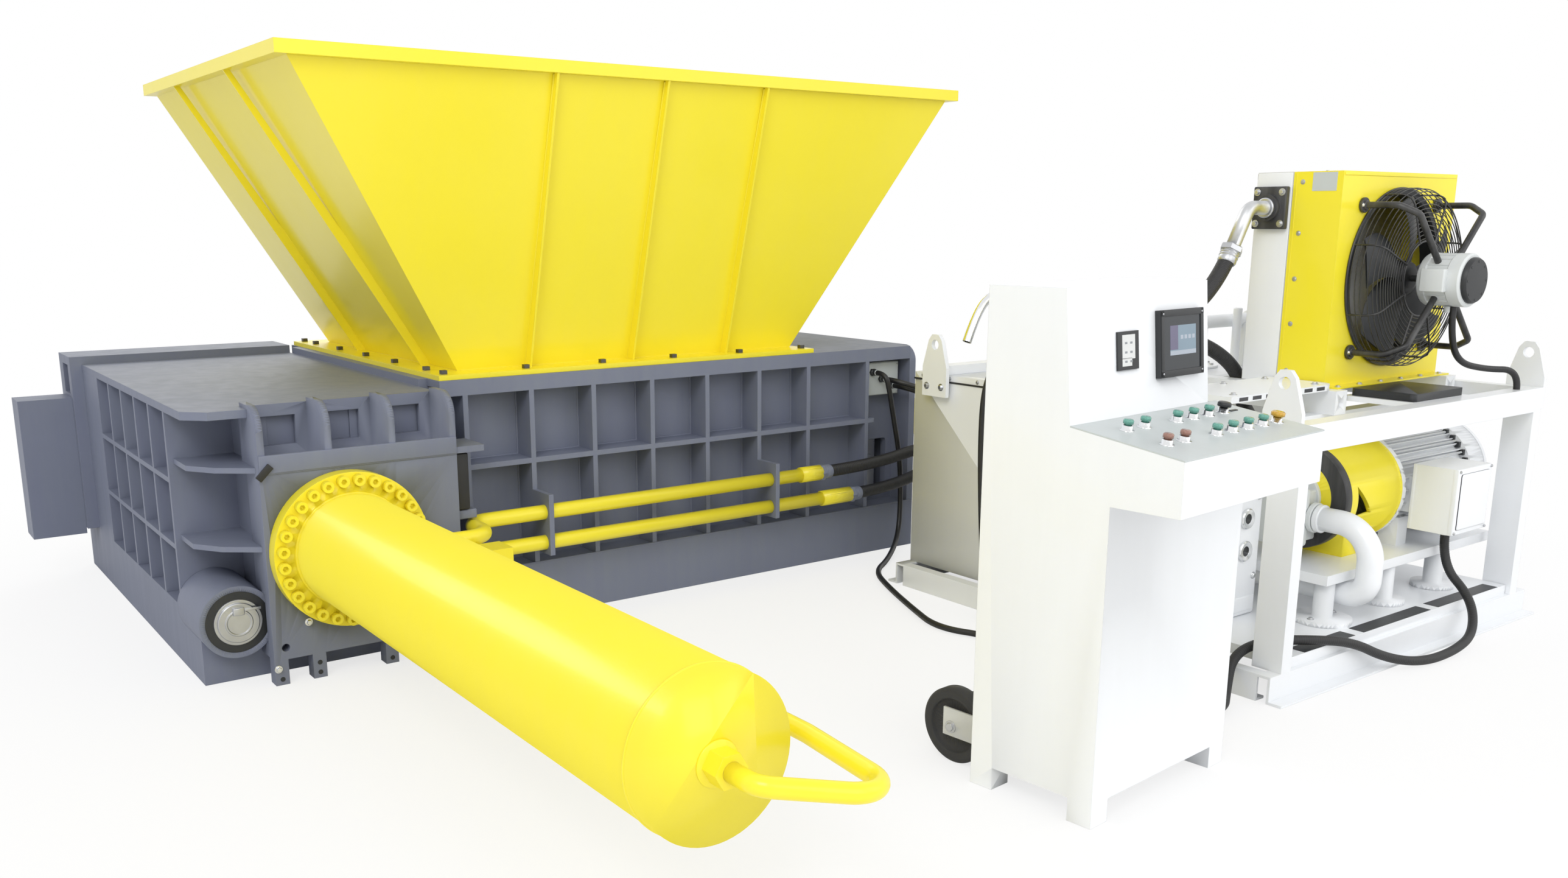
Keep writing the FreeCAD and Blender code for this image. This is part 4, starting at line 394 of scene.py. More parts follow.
def disc(radius, low, high, centre, direction, sides=48, chamfer=0.0):
    """A round plate between two heights along its axis, with chamfered rims."""
    c = chamfer
    profile = [(0, low), (radius - c, low), (radius, low + c), (radius, high - c),
               (radius - c, high), (0, high)]
    return lathe(profile, centre, direction, sides)


def band(inner, outer, low, high, centre, direction, sides=48):
    """A flat ring between two radii."""
    profile = [(inner, low), (outer, low), (outer, high), (inner, high), (inner, low)]
    return lathe(profile, centre, direction, sides)


def wire_ring(radius, wire, centre, direction, around=72, section=8):
    """A torus: a small circle carried round a large one."""
    angle = np.linspace(0, 2 * math.pi, section + 1)
    profile = np.stack([radius + wire * np.cos(angle), wire * np.sin(angle)], 1)
    return lathe(profile, centre, direction, around)


def block(low, high, soft=0.0, steps=3):
    """A box with rounded edges: each point is a corner of an inner box plus a step of `soft`
    along a sphere's direction; its first and last rows shrink to the middle of a face."""
    low, high = np.array(low, float), np.array(high, float)
    quarter = np.linspace(0, math.pi / 2, steps + 1)
    turn = np.concatenate([quarter + k * math.pi / 2 for k in range(4)])
    rise = np.concatenate([quarter - math.pi / 2, quarter])[:, None]
    x, y = np.repeat([[1, 1], [-1, 1], [-1, -1], [1, -1]], steps + 1, axis=0).T
    z = np.repeat([-1.0, 1.0], steps + 1)[:, None]
    corner = np.stack(np.broadcast_arrays(x, y, z), -1)
    ball = np.stack(np.broadcast_arrays(np.cos(rise) * np.cos(turn), np.cos(rise) * np.sin(turn),
                                        np.sin(rise)), -1)
    return capped((low + high) / 2 + corner * ((high - low) / 2 - soft) + soft * ball)


def blocks(soft, steps, *rows):
    """Boxes that share their edge radius; a row has a low corner's and a high corner's values."""
    return [block(row[:3], row[3:], soft, steps) for row in rows]


def sweep(path, section):
    """A tube: a closed section carried along a path.  Each row's frame is the last one, laid
    square to the new direction, so the tube doesn't twist."""
    path = np.array(path, float)
    run = np.gradient(path, axis=0)
    run /= np.linalg.norm(run, axis=1)[:, None]
    _, side, _ = across_to(run[0])
    sides = []
    for direction in run:
        side = side - direction * side.dot(direction)
        side /= np.linalg.norm(side)
        sides.append(side)
    sides = np.array(sides)
    ups = np.cross(run, sides)
    section = np.array(section, float)
    if section.ndim == 2:
        section = np.broadcast_to(section, (len(path), *section.shape))
    return capped(path[:, None] + section[..., :1] * sides[:, None]
                  + section[..., 1:] * ups[:, None])


def circle(radius, sides=16):
    return radius * np.stack([np.cos(turns(sides)), np.sin(turns(sides))], 1)


def bow(points, count=9):
    """A line whose corners are cut by parabolas: between the middles of two neighbouring runs
    the line is (1-t)^2 a + 2t(1-t) corner + t^2 b."""
    points = np.array(points, float)
    middles = np.concatenate([points[:1], (points[1:-2] + points[2:-1]) / 2, points[-1:]])
    t = np.linspace(0, 1, count)[:, None]
    arcs = [(1 - t) ** 2 * a + 2 * t * (1 - t) * corner + t ** 2 * b
            for a, corner, b in zip(middles, points[1:-1], middles[1:])]
    return np.concatenate([arcs[0]] + [arc[1:] for arc in arcs[1:]])


def bent(points, reach):
    """A line of straight runs whose corners are only rounded within a short reach."""
    points = np.array(points, float)
    line = [points[0]]
    for before, corner, after in zip(points, points[1:], points[2:]):
        back, ahead = before - corner, after - corner
        line += [corner + back * reach / np.linalg.norm(back), corner,
                 corner + ahead * reach / np.linalg.norm(ahead)]
    return bow(line + [points[-1]], 5)


def bolts(places, direction, size, height, washer=True):
    """Hexagon heads with domed tops, each on a washer; size is half the head's width."""
    patches, sunk = [], 0.001
    head = [(0, -sunk), (size, -sunk), (size, height * 0.85), (size * 0.85, height), (0, height)]
    for number, place in enumerate(places):
        patches.append(lathe(head, place, direction, 6, 0.4 * number))
        if washer:
            patches.append(disc(size * 1.45, -sunk, height * 0.22, place, direction, 20))
    return patches


# %% [markdown]
# ## Finishes for the solids
# Each solid has a slot in the record, and the slot names its finish.  A solid's mesh is loose
# triangles, so a long cylinder shows its facets.  The round ones get a merged copy, shaded
# smooth up to 30 degrees, that stands in their place.

# %% Paint the solids
SLOTS = {row["node"]: row["material_slot"] for row in frame["record"]["subparts"]}
for name, slot in SLOTS.items():
    frame["nodes"][name].data.materials.clear()
    frame["nodes"][name].data.materials.append(FINISHES[slot])

ROUND = ["main_cylinder", "cylinder_bolts", "return_pipe", "supply_pipes", "feed_cylinder",
         "gate_cylinder", "side_cylinder", "motor", "bell_housing", "suction_pipe", "main_ram",
         "feed_ram", "side_ram", "gate", "wheel_left", "wheel_right", "front_bulkhead",
         "pack_frame", "switch_box", "console_cabinet", "oil_tank", "motor_rotor",
         "junction_box", "cooler_core"]
ROUND += [name for name in SLOTS if name.startswith("button_")]
for name in ROUND:
    source = frame["nodes"][name]
    work = bmesh.new()
    work.from_mesh(source.data)
    bmesh.ops.remove_doubles(work, verts=work.verts, dist=1e-6)
    mesh = bpy.data.meshes.new(name + "_smooth")
    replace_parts(finished(name + "_smooth", mesh, work, SLOTS[name], source["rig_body"], 30), name)
print(len(ROUND), "solids shaded smooth")

# %% [markdown]
# ## Hoses and cables
# Two rubber hoses carry the oil from the pipes on the press to the tank, one from the cooler
# down to the tank, and one from the tank to the pump.  Thin cables run along the floor to the
# console.  Each is a fixed length of something springy, so its line is one smooth NURBS curve
# steered by the points of its route, the same points as the solid's.

# %% Routes
MM = 0.001
CONSOLE_X, CONSOLE_Y, CONSOLE_TURN = 1.205, -3.684, math.radians(5.5)
CONSOLE_DEPTH, CONSOLE_PORT = 430, 32


def console_place(points):
    """Points in the console's own axes, in metres, put into the baler's frame."""
    cos, sin = math.cos(CONSOLE_TURN), math.sin(CONSOLE_TURN)
    x, y, z = np.moveaxis(np.asarray(points, float), -1, 0)
    return np.stack([CONSOLE_X + cos * x - sin * y, CONSOLE_Y + sin * x + cos * y, z], -1)


def by_console(*point):
    """A point given in mm in the console's own axes, in mm in the baler's frame."""
    return console_place(np.array(point) * MM) / MM


def console_end(number, run):
    """The last two points of a cable that enters a port on the console's rear."""
    along, rear = 220 + 110 * number, CONSOLE_DEPTH + CONSOLE_PORT
    return [by_console(along, rear + run, 175), by_console(along, rear, 175)]


ROUTES = {
    "upper_hose": ([
        (2350, -1050, 480), (2680, -1050, 480), (3000, -1080, 545), (3300, -1250, 580),
        (3300, -1458, 580)], 29, 1.189, "power_hoses"),
    "lower_hose": ([
        (2540, -1050, 350), (2800, -1050, 350), (3080, -1090, 440), (3420, -1260, 480),
        (3420, -1458, 480)], 29, 1.113, "power_hoses"),
    "cooler_line": ([
        (3100, -2710, 1565), (3020, -2710, 1427.2), (2850, -2660, 1280), (2800, -2460, 1200),
        (2800, -2300, 1160), (2800, -2300, 1016)], 32, 0.883, "cooler_hose"),
    "tank_line": ([
        (2950, -2330, 1016), (2950, -2330, 1180), (3180, -2480, 1200), (3420, -2570, 1060),
        (3430, -2600, 870), (3195, -2880, 830), (3195, -2880, 640)], 30, 1.372, "tank_hose"),
    "conduit": ([
        (3870, -3300, 400), (3870, -3300, 270), (3850, -3445, 160), (3740, -3520, 50),
        (3540, -3545, 22), (3310, -3535, 20), (3130, -3485, 60), (2960, -3442, 146),
        (2770, -3378, 174), (2640, -3278, 170), (2480, -3262, 142), (2400, -3300, 40),
        (2240, -3400, 20), by_console(869, 312, 20), by_console(790, 560, 20),
        by_console(640, 745, 22), by_console(480, 760, 90)]
        + console_end(2, 144), 18, 3.282, "motor_conduit"),
    "floor_cable": ([
        (2813.75, -930, 918.8), (2813.75, -995, 918.8), (2835, -1002, 835), (2880, -985, 700),
        (2935, -983, 480), (2945, -985, 240), (2900, -1020, 70), (2700, -1170, 16),
        (2500, -1300, 15), (2370, -1540, 15), (2230, -1850, 15), (2120, -2120, 15),
        (2230, -2340, 15), (2150, -2600, 15), (1970, -2790, 15), by_console(620, 845, 15),
        by_console(400, 850, 50)] + console_end(0, 192), 13, 3.96, "control_cables"),
    "tank_cable": ([
        (2640, -2000, 1016), (2640, -2000, 1080), (2540, -1985, 1078), (2508, -1960, 960),
        (2512, -1950, 740), (2505, -1975, 440), (2490, -2010, 230), (2420, -2080, 60),
        (2330, -2240, 15), (2300, -2500, 15), (2200, -2750, 15), (2010, -2880, 15),
        by_console(640, 795, 15), by_console(470, 800, 60)]
        + console_end(1, 168), 13, 2.933, "control_cables"),
    "second_cable": ([
        (2872.5, -930, 882.5), (2872.5, -1000, 882.5), (2960, -1080, 850), (3100, -1220, 790),
        (3150, -1360, 760), (3150, -1458, 760)], 13, 0.642, "control_cables"),
    "third_cable": ([
        (2931.25, -930, 846.2), (2931.25, -995, 846.2), (3020, -1065, 810), (3170, -1210, 745),
        (3240, -1355, 700), (3240, -1458, 700)], 13, 0.664, "control_cables"),
    "fan_cable": ([
        (3800, -3260, 1335), (3800, -3260, 1235), (3860, -3270, 1110), (4020, -3310, 1075),
        (4150, -3384, 1072), (4150, -3384, 990)], 13, 0.612, "control_cables"),
}


# %% Rubber that follows the hose
def hose_rubber(name, pitch, depth, colour, rough):
    """Rubber with rings round the hose: a wave along the curve's own u, which runs its length."""
    rubber = Finish(name)
    along = rubber.node("SeparateXYZ", sockets={0: rubber.node("TexCoord", output="UV")})
    wave = rubber.node("Math", {"operation": "SINE"}, {0: along * (2 * math.pi / pitch)})
    grime = rubber.noise(14, 4)
    skin = rubber.mix(grime.over(0.55, 0.15) * 0.4, colour, [c * 0.8 + 0.02 for c in colour])
    return rubber.set(base_color=skin, roughness=rough + (grime - 0.5) * 0.2,
                      normal=rubber.bump(wave, depth, 0.8))


def route_curve(name, points, radius, finish):
    """One open NURBS spline of order 3 with the route's points as its control points."""
    data = bpy.data.curves.new(name, "CURVE")
    data.dimensions = "3D"
    spline = data.splines.new("NURBS")
    spline.points.add(len(points) - 1)
    rows = np.ones((len(points), 4))
    rows[:, :3] = np.array(points) * MM
    spline.points.foreach_set("co", rows.ravel())
    spline.order_u = 3
    spline.use_endpoint_u = True
    spline.resolution_u = 14
    data.bevel_depth = radius * MM
    data.bevel_resolution = 5
    data.use_fill_caps = True
    data.materials.append(finish)
    curve = bpy.data.objects.new(name, data)
    scene.collection.objects.link(curve)
    return curve


def centre_line(curve, spacing):
    """The curve's own line, read from its spline with no bevel, at an even spacing."""
    depth, curve.data.bevel_depth = curve.data.bevel_depth, 0
    bpy.context.view_layer.update()
    depsgraph = bpy.context.evaluated_depsgraph_get()
    mesh = bpy.data.meshes.new_from_object(curve.evaluated_get(depsgraph))
    line = np.array([v.co for v in mesh.vertices])
    bpy.data.meshes.remove(mesh)
    curve.data.bevel_depth = depth
    far = np.concatenate([[0], np.cumsum(np.linalg.norm(np.diff(line, axis=0), axis=1))])
    even = np.linspace(0, far[-1], max(2, round(far[-1] / spacing)) + 1)
    return np.stack([np.interp(even, far, line[:, k]) for k in range(3)], 1)


def collar(name, end, towards, radius, slot):
    """A crimped sleeve and a hexagon nut where a hose leaves its fitting."""
    end, towards = np.array(end) * MM, np.array(towards, float) * MM
    run = (towards - end) / np.linalg.norm(towards - end)
    r = radius * MM
    sleeve = [(0, -0.002), (r * 1.16, -0.002), (r * 1.2, 0.004)]
    for k in range(4):
        sleeve += [(r * 1.2, 0.008 + k * r * 0.36), (r * 1.13, 0.011 + k * r * 0.36)]
    sleeve += [(r * 1.17, 0.014 + r * 1.5), (r * 1.06, 0.018 + r * 1.6), (r * 0.9, 0.018 + r * 1.6),
               (0, 0.018 + r * 1.6)]
    size = r * 1.42
    nut = [(0, -0.004), (size * 0.92, -0.004), (size, 0), (size, r * 0.62),
           (size * 0.92, r * 0.66), (0, r * 0.66)]
    make(name, [lathe(sleeve, end, run, 32), lathe(nut, end, run, 6)], slot)


# %% Lay the hoses and cables
wrapped = hose_rubber("wrapped_hose", 0.006, 0.0005, (0.014, 0.014, 0.015), 0.5)
sheath = hose_rubber("cable_sheath", 0.02, 0.0001, (0.012, 0.012, 0.013), 0.42)
for name, (points, radius, length, node) in ROUTES.items():
    curve = route_curve(name, points, radius, wrapped if radius > 20 else sheath)
    hanging, path = node in ("power_hoses", "cooler_hose", "tank_hose"), {}
    if name == "conduit":
        line = centre_line(curve, 0.003)
        rings = 1 + 0.06 * np.abs(np.sin(np.arange(len(line)) * math.pi / 3))
        tube = sweep(line, circle(radius * MM * 0.95, 14)[None] * rings[:, None, None])
        bpy.data.objects.remove(curve)
        curve = make(name, [tube], "black_rubber", keep_angle=80)
        path = {"path": line[::6].tolist()}
    else:
        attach(curve, "body")
    [c * MM for c in points[0]]
    2 * radius * MM
    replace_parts(curve, node)
    if radius > 20:
        slot = "grey_blue_paint" if node == "power_hoses" else "bare_steel"
        collar(name + "_collar_start", points[0], points[1], radius, slot)
        collar(name + "_collar_end", points[-1], points[-2], radius, "bare_steel")
print(len(ROUTES), "hoses and cables")

# %% [markdown]
# ## Fan guard
# The guard is a basket of thin black wire: rings up its side and over its face, tied by eight
# bent spokes.  A ring is a torus.  The rings follow one profile, a rounded corner between
# the side and the face, and the spokes are swept along the same profile.

# %% Fan guard
FAN = np.array([3.8, 0, 1.44])
EDGE = 0.358


def guard_profile(t):
    """Radius and distance forward of the origin along the guard, t from 0 to 1: up the side,
    round a corner of 45 mm, and inwards over the face."""
    radius = np.interp(t, [0, 0.25, 0.31, 0.37, 0.43, 1], [EDGE, EDGE, 0.354, 0.343, 0.326, 0.15])
    out = np.interp(t, [0, 0.25, 0.31, 0.37, 0.43, 0.5, 1],
                    [3.004, 3.07, 3.092, 3.109, 3.118, 3.122, 3.125])
    return radius, out


def fan_ring(radius, wire, out, around=96, section=8):
    return wire_ring(radius, wire, FAN + [0, -out, 0], OUT, around, section)


def about_fan(radius, out, angle):
    """Points at a radius and an angle round the fan's axis, and out forward of the origin."""
    x, z = FAN[0] + radius * np.cos(angle), FAN[2] + radius * np.sin(angle)
    return np.stack(np.broadcast_arrays(x, -np.asarray(out), z), -1)


places = np.concatenate([np.linspace(0.06, 0.22, 3), np.linspace(0.31, 0.97, 13)])
rings = [fan_ring(radius, 0.0021, out, 96, 6) for radius, out in zip(*guard_profile(places))]
rings += [fan_ring(EDGE, 0.005, 3.005), fan_ring(0.15, 0.004, 3.1255, 72)]
radii, outs = guard_profile(np.linspace(0, 1, 28))
spokes = [sweep(about_fan(radii, outs + 0.0028, angle), circle(0.0036, 8))
          for angle in turns(8) + math.pi / 8]
make("wire_guard", rings + spokes, "black_wire", replaces=["fan_guard"], keep_angle=60)
venturi = [(0.343, 2.93), (0.35, 2.93), (0.35, 2.997), (0.356, 3.001), (0.356, 3.008),
           (0.336, 3.008), (0.33, 3.0), (0.343, 2.985), (0.343, 2.93)]
make("venturi_ring", [lathe(venturi, FAN, OUT, 96)], "black_plastic")

# %% [markdown]
# ## Fan blades
# Five sickle blades turn on a domed hub.  A blade is a function of radius and of the way round
# a thin wing section: it sweeps back with the square of the radius, and its pitch falls from 38
# degrees at the hub to 22 at the tip, so each part moves the same air.

# %% Fan blades
r = np.linspace(0.055, 0.323, 14)[:, None]
share = (r - r[0]) / (r[-1] - r[0])
around = turns(22)
pitch = np.radians(38 - 16 * share)
wing = (0.062 + 0.05 * np.sin(share * math.pi * 0.62)) * np.cos(around)
thick = 0.0035 * np.sin(around) + 0.01 * (1 - np.cos(around) ** 2)
out = 3.045 + np.clip(wing * np.sin(pitch) * 0.62 + thick, -0.034, 0.034)
swept = 0.42 * share ** 2 + wing * np.cos(pitch) / r
blades = [capped(about_fan(r, out, angle + swept)) for angle in turns(5)]
hub = lathe([(0, 3.01), (0.066, 3.01), (0.07, 3.016), (0.07, 3.058), (0.062, 3.072),
             (0.04, 3.079), (0.013, 3.08), (0.013, 3.198), (0, 3.198)], FAN, OUT, 48)
make("fan_blades", blades + [hub], "black_plastic", "fan_rotor_body", 50, ["fan_rotor"])

# %% [markdown]
# ## Fan motor and its arms
# A light grey motor hangs in front of the guard on four bent black tubes, each on a round pad
# that is bolted to the shroud.  The tubes are swept along a line with cut corners.

# %% Fan motor and its arms
body = [(0, 3.141), (0.06, 3.141), (0.064, 3.146), (0.1, 3.15), (0.105, 3.158),
        (0.105, 3.178), (0.101, 3.182), (0.101, 3.262), (0.105, 3.266), (0.105, 3.312),
        (0.098, 3.319), (0, 3.319)]
drum = [lathe(body, FAN, OUT, 64), block((3.672, -3.272, 1.395), (3.704, -3.176, 1.485), 0.006),
        disc(0.016, 0, 0.026, (3.8, -3.24, 1.337), DOWN, 24, 0.002)]
drum += [sweep(about_fan(0.1015, (3.181, 3.263), a), circle(0.0032, 6)) for a in turns(20)]
make("fan_motor_body", drum, "motor_grey", replaces=["fan_motor"])
cap = [(0, 3.318), (0.09, 3.318), (0.09, 3.33), (0.084, 3.339), (0.03, 3.341), (0, 3.341)]
make("fan_motor_cap", [lathe(cap, FAN, OUT, 64)]
     + bolts([about_fan(0.074, 3.336, a) for a in turns(8)], OUT, 0.0055, 0.005, False),
     "black_plastic")
arms, studs = [], []
for across, up in itertools.product((-1, 1), (-1, 1)):
    px, pz = FAN[0] + 0.285 * across, FAN[2] + 0.29 * up
    line = [(px, -3.014, pz), (px, -3.145, pz), (px - 0.035 * across, -3.215, pz - 0.035 * up),
            (FAN[0] + 0.068 * across, -3.215, FAN[2] + 0.068 * up)]
    arms += [sweep(bent(line, 0.03), circle(0.013, 16)),
             disc(0.03, 0, 0.015, (px, -3.0, pz), OUT, 32, 0.003),
             disc(0.02, 0.012, 0.022, (px, -3.0, pz), OUT, 24, 0.002)]
    studs += bolts([(px + 0.02 * across, -3.015, pz)], OUT, 0.006, 0.006)
make("fan_arms", arms, "black_wire")
make("fan_arm_studs", studs, "chrome_ring")

# %% [markdown]
# ## Cooler
# Behind the yellow shroud stands the core: a stack of thin aluminium fins between flat tubes.
# The back shows them as fine rows.  The elbow's black flange has four bolts.

# %% Cooler details
PITCH = 0.0148
make("core_tubes", blocks(0.001, 1, *((3.395, -2.634, z, 4.205, -2.6285, z + 0.006)
                                      for z in np.arange(1.045, 1.835, PITCH))),
     "core_aluminium")
x = np.linspace(3.4, 4.2, 161)
up = 0.007 * (np.arange(161) % 2)
strip = [(0.0012, -0.0006), (0.0012, 0.0006), (-0.0012, 0.0006), (-0.0012, -0.0006)]
make("core_fins", [sweep(np.stack([x, np.full(161, -2.6305), z + up], 1), strip)
                   for z in np.arange(1.052, 1.828, PITCH * 2)], "core_aluminium", keep_angle=20)
make("core_frame", blocks(0.002, 3, (3.362, -2.6345, 1.017, 4.238, -2.626, 1.045),
                          (3.362, -2.6345, 1.832, 4.238, -2.626, 1.858),
                          (3.362, -2.6345, 1.017, 3.395, -2.626, 1.858),
                          (4.205, -2.6345, 1.017, 4.238, -2.626, 1.858))
     + blocks(0.001, 3, (3.356, -2.786, 1.018, 3.361, -2.632, 1.858),
              (4.239, -2.786, 1.018, 4.2415, -2.632, 1.858)), "white_paint")
ELBOW = np.array([3.328, -2.71, 1.72])
make("elbow_flange", [block((3.326, -2.784, 1.636), (3.352, -2.636, 1.804), 0.006),
                      band(0.028, 0.052, 0, 0.02, ELBOW, LEFT)], "black_iron")
make("elbow_bolts", bolts(ELBOW + spots(-0.002, (-0.055, 0.055), (-0.062, 0.062)), LEFT, 0.01,
                          0.01) + [disc(0.04, 0.005, 0.035, ELBOW, LEFT, 36, 0.004)],
     "bare_steel")
shroud = []
for x, way in ((3.3605, LEFT), (4.2395, RIGHT)):
    shroud += bolts(spots(x, -2.83, (1.07, 1.26, 1.44, 1.62, 1.82)), way, 0.007, 0.005)
shroud += bolts(spots(np.linspace(3.4, 4.2, 6), -3.036, 1.0205), UP, 0.009, 0.007)
shroud += bolts(spots((3.42, 4.18), -2.895, 1.8595), UP, 0.007, 0.005)
make("shroud_bolts", shroud, "bare_steel")
make("shroud_seams", blocks(0.0008, 1, (3.3585, -2.806, 1.016, 3.3605, -2.8, 1.859),
                            (3.362, -2.806, 1.8585, 4.238, -2.8, 1.8605))
     + blocks(0.0015, 1, (3.366, -3.003, 1.843, 4.234, -2.999, 1.855)), "yellow_paint")
make("shroud_label", blocks(0.0005, 1, (3.3592, -2.975, 1.784, 3.3608, -2.872, 1.856)),
     "plate_grey")

# %% [markdown]
# ## Electric motor, bell housing and pump
# The big motor is cast with many fine fins, and its box for the mains cable has a bolted lid.
# The solids carry a fin every 15 degrees, and two more fill each gap.

# %% Motor and pump details
SHAFT = np.array([0, -2.975, 0.58])


def on_motor(x, radius, angle):
    return np.array([x, SHAFT[1] + radius * math.sin(angle), SHAFT[2] + radius * math.cos(angle)])


fins, fin_run = [], [0.531, 0, 0]
for angle in turns(48) + math.pi / 48:
    if abs(math.sin(angle) + 1) < 0.11:  # the terminal box sits here
        continue
    low, high = on_motor(3.7085, 0.194, angle), on_motor(3.7085, 0.216, angle)
    across = np.array([0, math.cos(angle), -math.sin(angle)]) * 0.0034
    foot = np.array([low - across, low + across, high + across * 0.6, high - across * 0.6])
    fins.append(capped(np.stack([foot, foot + fin_run])))
make("motor_fins", fins, "white_paint", keep_angle=20)
make("terminal_lid", blocks(0.005, 3, (3.7195, -3.3985, 0.4295, 3.9905, -3.374, 0.7005),
                            (3.7195, -3.232, 0.4295, 3.9905, -3.2145, 0.7005))
     + blocks(0.01, 5, (3.74, -3.4085, 0.45, 3.97, -3.392, 0.68))
     + [band(0.005, 0.03, 0, 0.03, (3.87, -3.3, 0.43), DOWN, 32)], "white_paint")
make("terminal_screws", bolts(spots((3.729, 3.981), -3.398, (0.439, 0.691)), OUT, 0.006, 0.006,
                              False)
     + bolts([on_motor(3.6795, 0.208, a) for a in turns(8) + 0.39], LEFT,
             0.013, 0.012)
     + bolts(spots((3.78, 4.16), (-3.15, -2.8), 0.462), UP, 0.013, 0.014), "bare_steel")
rim = [(0.198, 0), (0.2315, 0), (0.2315, 0.02), (0.228, 0.0215), (0.198, 0.0215), (0.198, 0)]
make("cowl_grille", [band(r, r + 0.006, 0, 0.0035, SHAFT + [4.3785, 0, 0], RIGHT)
                     for r in np.arange(0.04, 0.22, 0.014)]
     + [lathe(rim, SHAFT + [4.36, 0, 0], RIGHT, 64)], "white_paint")
slot = [(0.009, 0.012), (-0.009, 0.012), (-0.009, -0.012), (0.009, -0.012)]
# Black strips stand in for the cowl's vent openings: painted shade.
make("cowl_vent_painted_shade", [sweep([on_motor(x, 0.213, a) for x in (4.222, 4.2415)], slot)
                    for a in turns(36)], "black_plastic", keep_angle=20)
make("motor_eye", [wire_ring(0.026, 0.008, (3.95, SHAFT[1], 0.834), RIGHT, 32, 10),
                   disc(0.018, 0, 0.02, (3.95, SHAFT[1], 0.79), UP, 24, 0.003)], "white_paint")
make("bell_inner", [lathe([(0.15, 3.279), (0.212, 3.279), (0.2145, 3.283), (0.2145, 3.321),
                           (0.2125, 3.324), (0.15, 3.324), (0.15, 3.279)], SHAFT, RIGHT, 96)],
     "black_iron")
make("pump_body", [block((3.112, -3.088, 0.402), (3.2, -2.862, 0.638), 0.016),
                   block((3.196, -3.07, 0.418), (3.281, -2.88, 0.622), 0.01),
                   disc(0.108, 3.262, 3.281, SHAFT, RIGHT, 48, 0.003),
                   disc(0.06, -0.001, 0.02, (3.22, -3.09, 0.52), OUT, 40, 0.003),
                   disc(0.052, 0, 0.012, (3.195, -2.88, 0.629), UP, 40, 0.002)],
     "motor_grey", replaces=["pump"])
make("manifold", [block((2.801, -2.999, 0.141), (3.009, -2.921, 0.699), 0.012),
                  block((2.815, -3.004, 0.16), (2.995, -2.99, 0.22), 0.004)], "white_paint")
port = [(0.02, 0), (0.04, 0), (0.041, 0.002), (0.041, 0.01), (0.037, 0.014), (0.02, 0.011),
        (0.02, 0)]
places = spots(2.905, -2.999, (0.54, 0.41))
# Black discs fill the ports' bores: painted shade.
make("manifold_bore_painted_shade", [disc(0.0205, -0.001, 0.003, place, OUT, 32, 0.0005)
                        for place in places], "black_plastic")
make("manifold_ports", [lathe(port, place, OUT, 40) for place in places]
     + bolts(spots((2.83, 2.98), -2.999, (0.3, 0.62)), OUT, 0.01, 0.009), "chrome_ring")
make("pump_bolts", bolts(spots(3.112, (-3.06, -2.89), (0.43, 0.61)), LEFT, 0.012, 0.012)
     + bolts(spots((3.4, 3.52), (-3.115, -2.835), 0.34), UP, 0.013, 0.012), "dark_steel")
make("suction_rings", [disc(0.056, -0.012, 0.012, (3.22, -3.125, 0.52), OUT, 40, 0.003),
                       disc(0.056, -0.012, 0.012, (3.22, -2.46, 0.245), BACK, 40, 0.003),
                       disc(0.066, -0.004, 0.004, (3.22, -2.445, 0.245), BACK, 40, 0.001)],
     "white_paint")

# %% [markdown]
# ## Oil tank and frame
# The tank's top edge is sealed by a black strip under a bolted cover.  On top stand a bright
# bent tube, a return line on two posts, and a filler cap.

# %% Tank details
make("tank_gasket", blocks(0.001, 1, (2.558, -2.434, 0.9615, 4.244, -2.4285, 0.9695),
                           (2.558, -2.434, 0.9615, 2.5635, -1.474, 0.9695),
                           (2.558, -1.4795, 0.9615, 4.244, -1.474, 0.9695),
                           (4.2385, -2.434, 0.9615, 4.244, -1.474, 0.9695)), "black_rubber")
make("tank_bolts", bolts(spots(2.5605, np.linspace(-2.38, -1.53, 6), 0.982), LEFT, 0.006, 0.004)
     + bolts(spots(np.linspace(2.62, 4.18, 9), -1.4765, 0.982), BACK, 0.006, 0.004)
     + bolts([(3.72 + 0.19 * math.cos(a), -2.0 + 0.19 * math.sin(a), 1.004)
              for a in turns(12)], UP, 0.01, 0.009), "bare_steel")
make("manhole_cover", [disc(0.22, 0.995, 1.006, (3.72, -2.0, 0), UP, 64, 0.002)], "white_paint")
make("filler_cap", [lathe([(0, 0.995), (0.052, 0.995), (0.052, 1.004), (0.044, 1.006),
                           (0.044, 1.035), (0.05, 1.038), (0.05, 1.066), (0.044, 1.072),
                           (0, 1.072)], (3.15, -1.85, 0), UP, 40)], "black_plastic")
line = bow([(2.95, -1.72, 1.0), (2.95, -1.72, 1.2), (2.93, -1.715, 1.335), (2.8, -1.7, 1.345),
            (2.715, -1.7, 1.27), (2.66, -1.7, 1.14)])
outer, inner = (sweep(line, circle(radius, 24))[1:-1] for radius in (0.021, 0.018))
make("bent_spout", [np.concatenate([outer, inner[::-1], outer[:1]]),
                    disc(0.036, 0.995, 1.02, (2.95, -1.72, 0), UP, 32, 0.003)], "chrome_ring")
make("level_gauge", [block((3.92, -2.4385, 0.58), (3.96, -2.4285, 0.86), 0.004)], "black_plastic")
RETURN = (0, -2.2, 1.212)
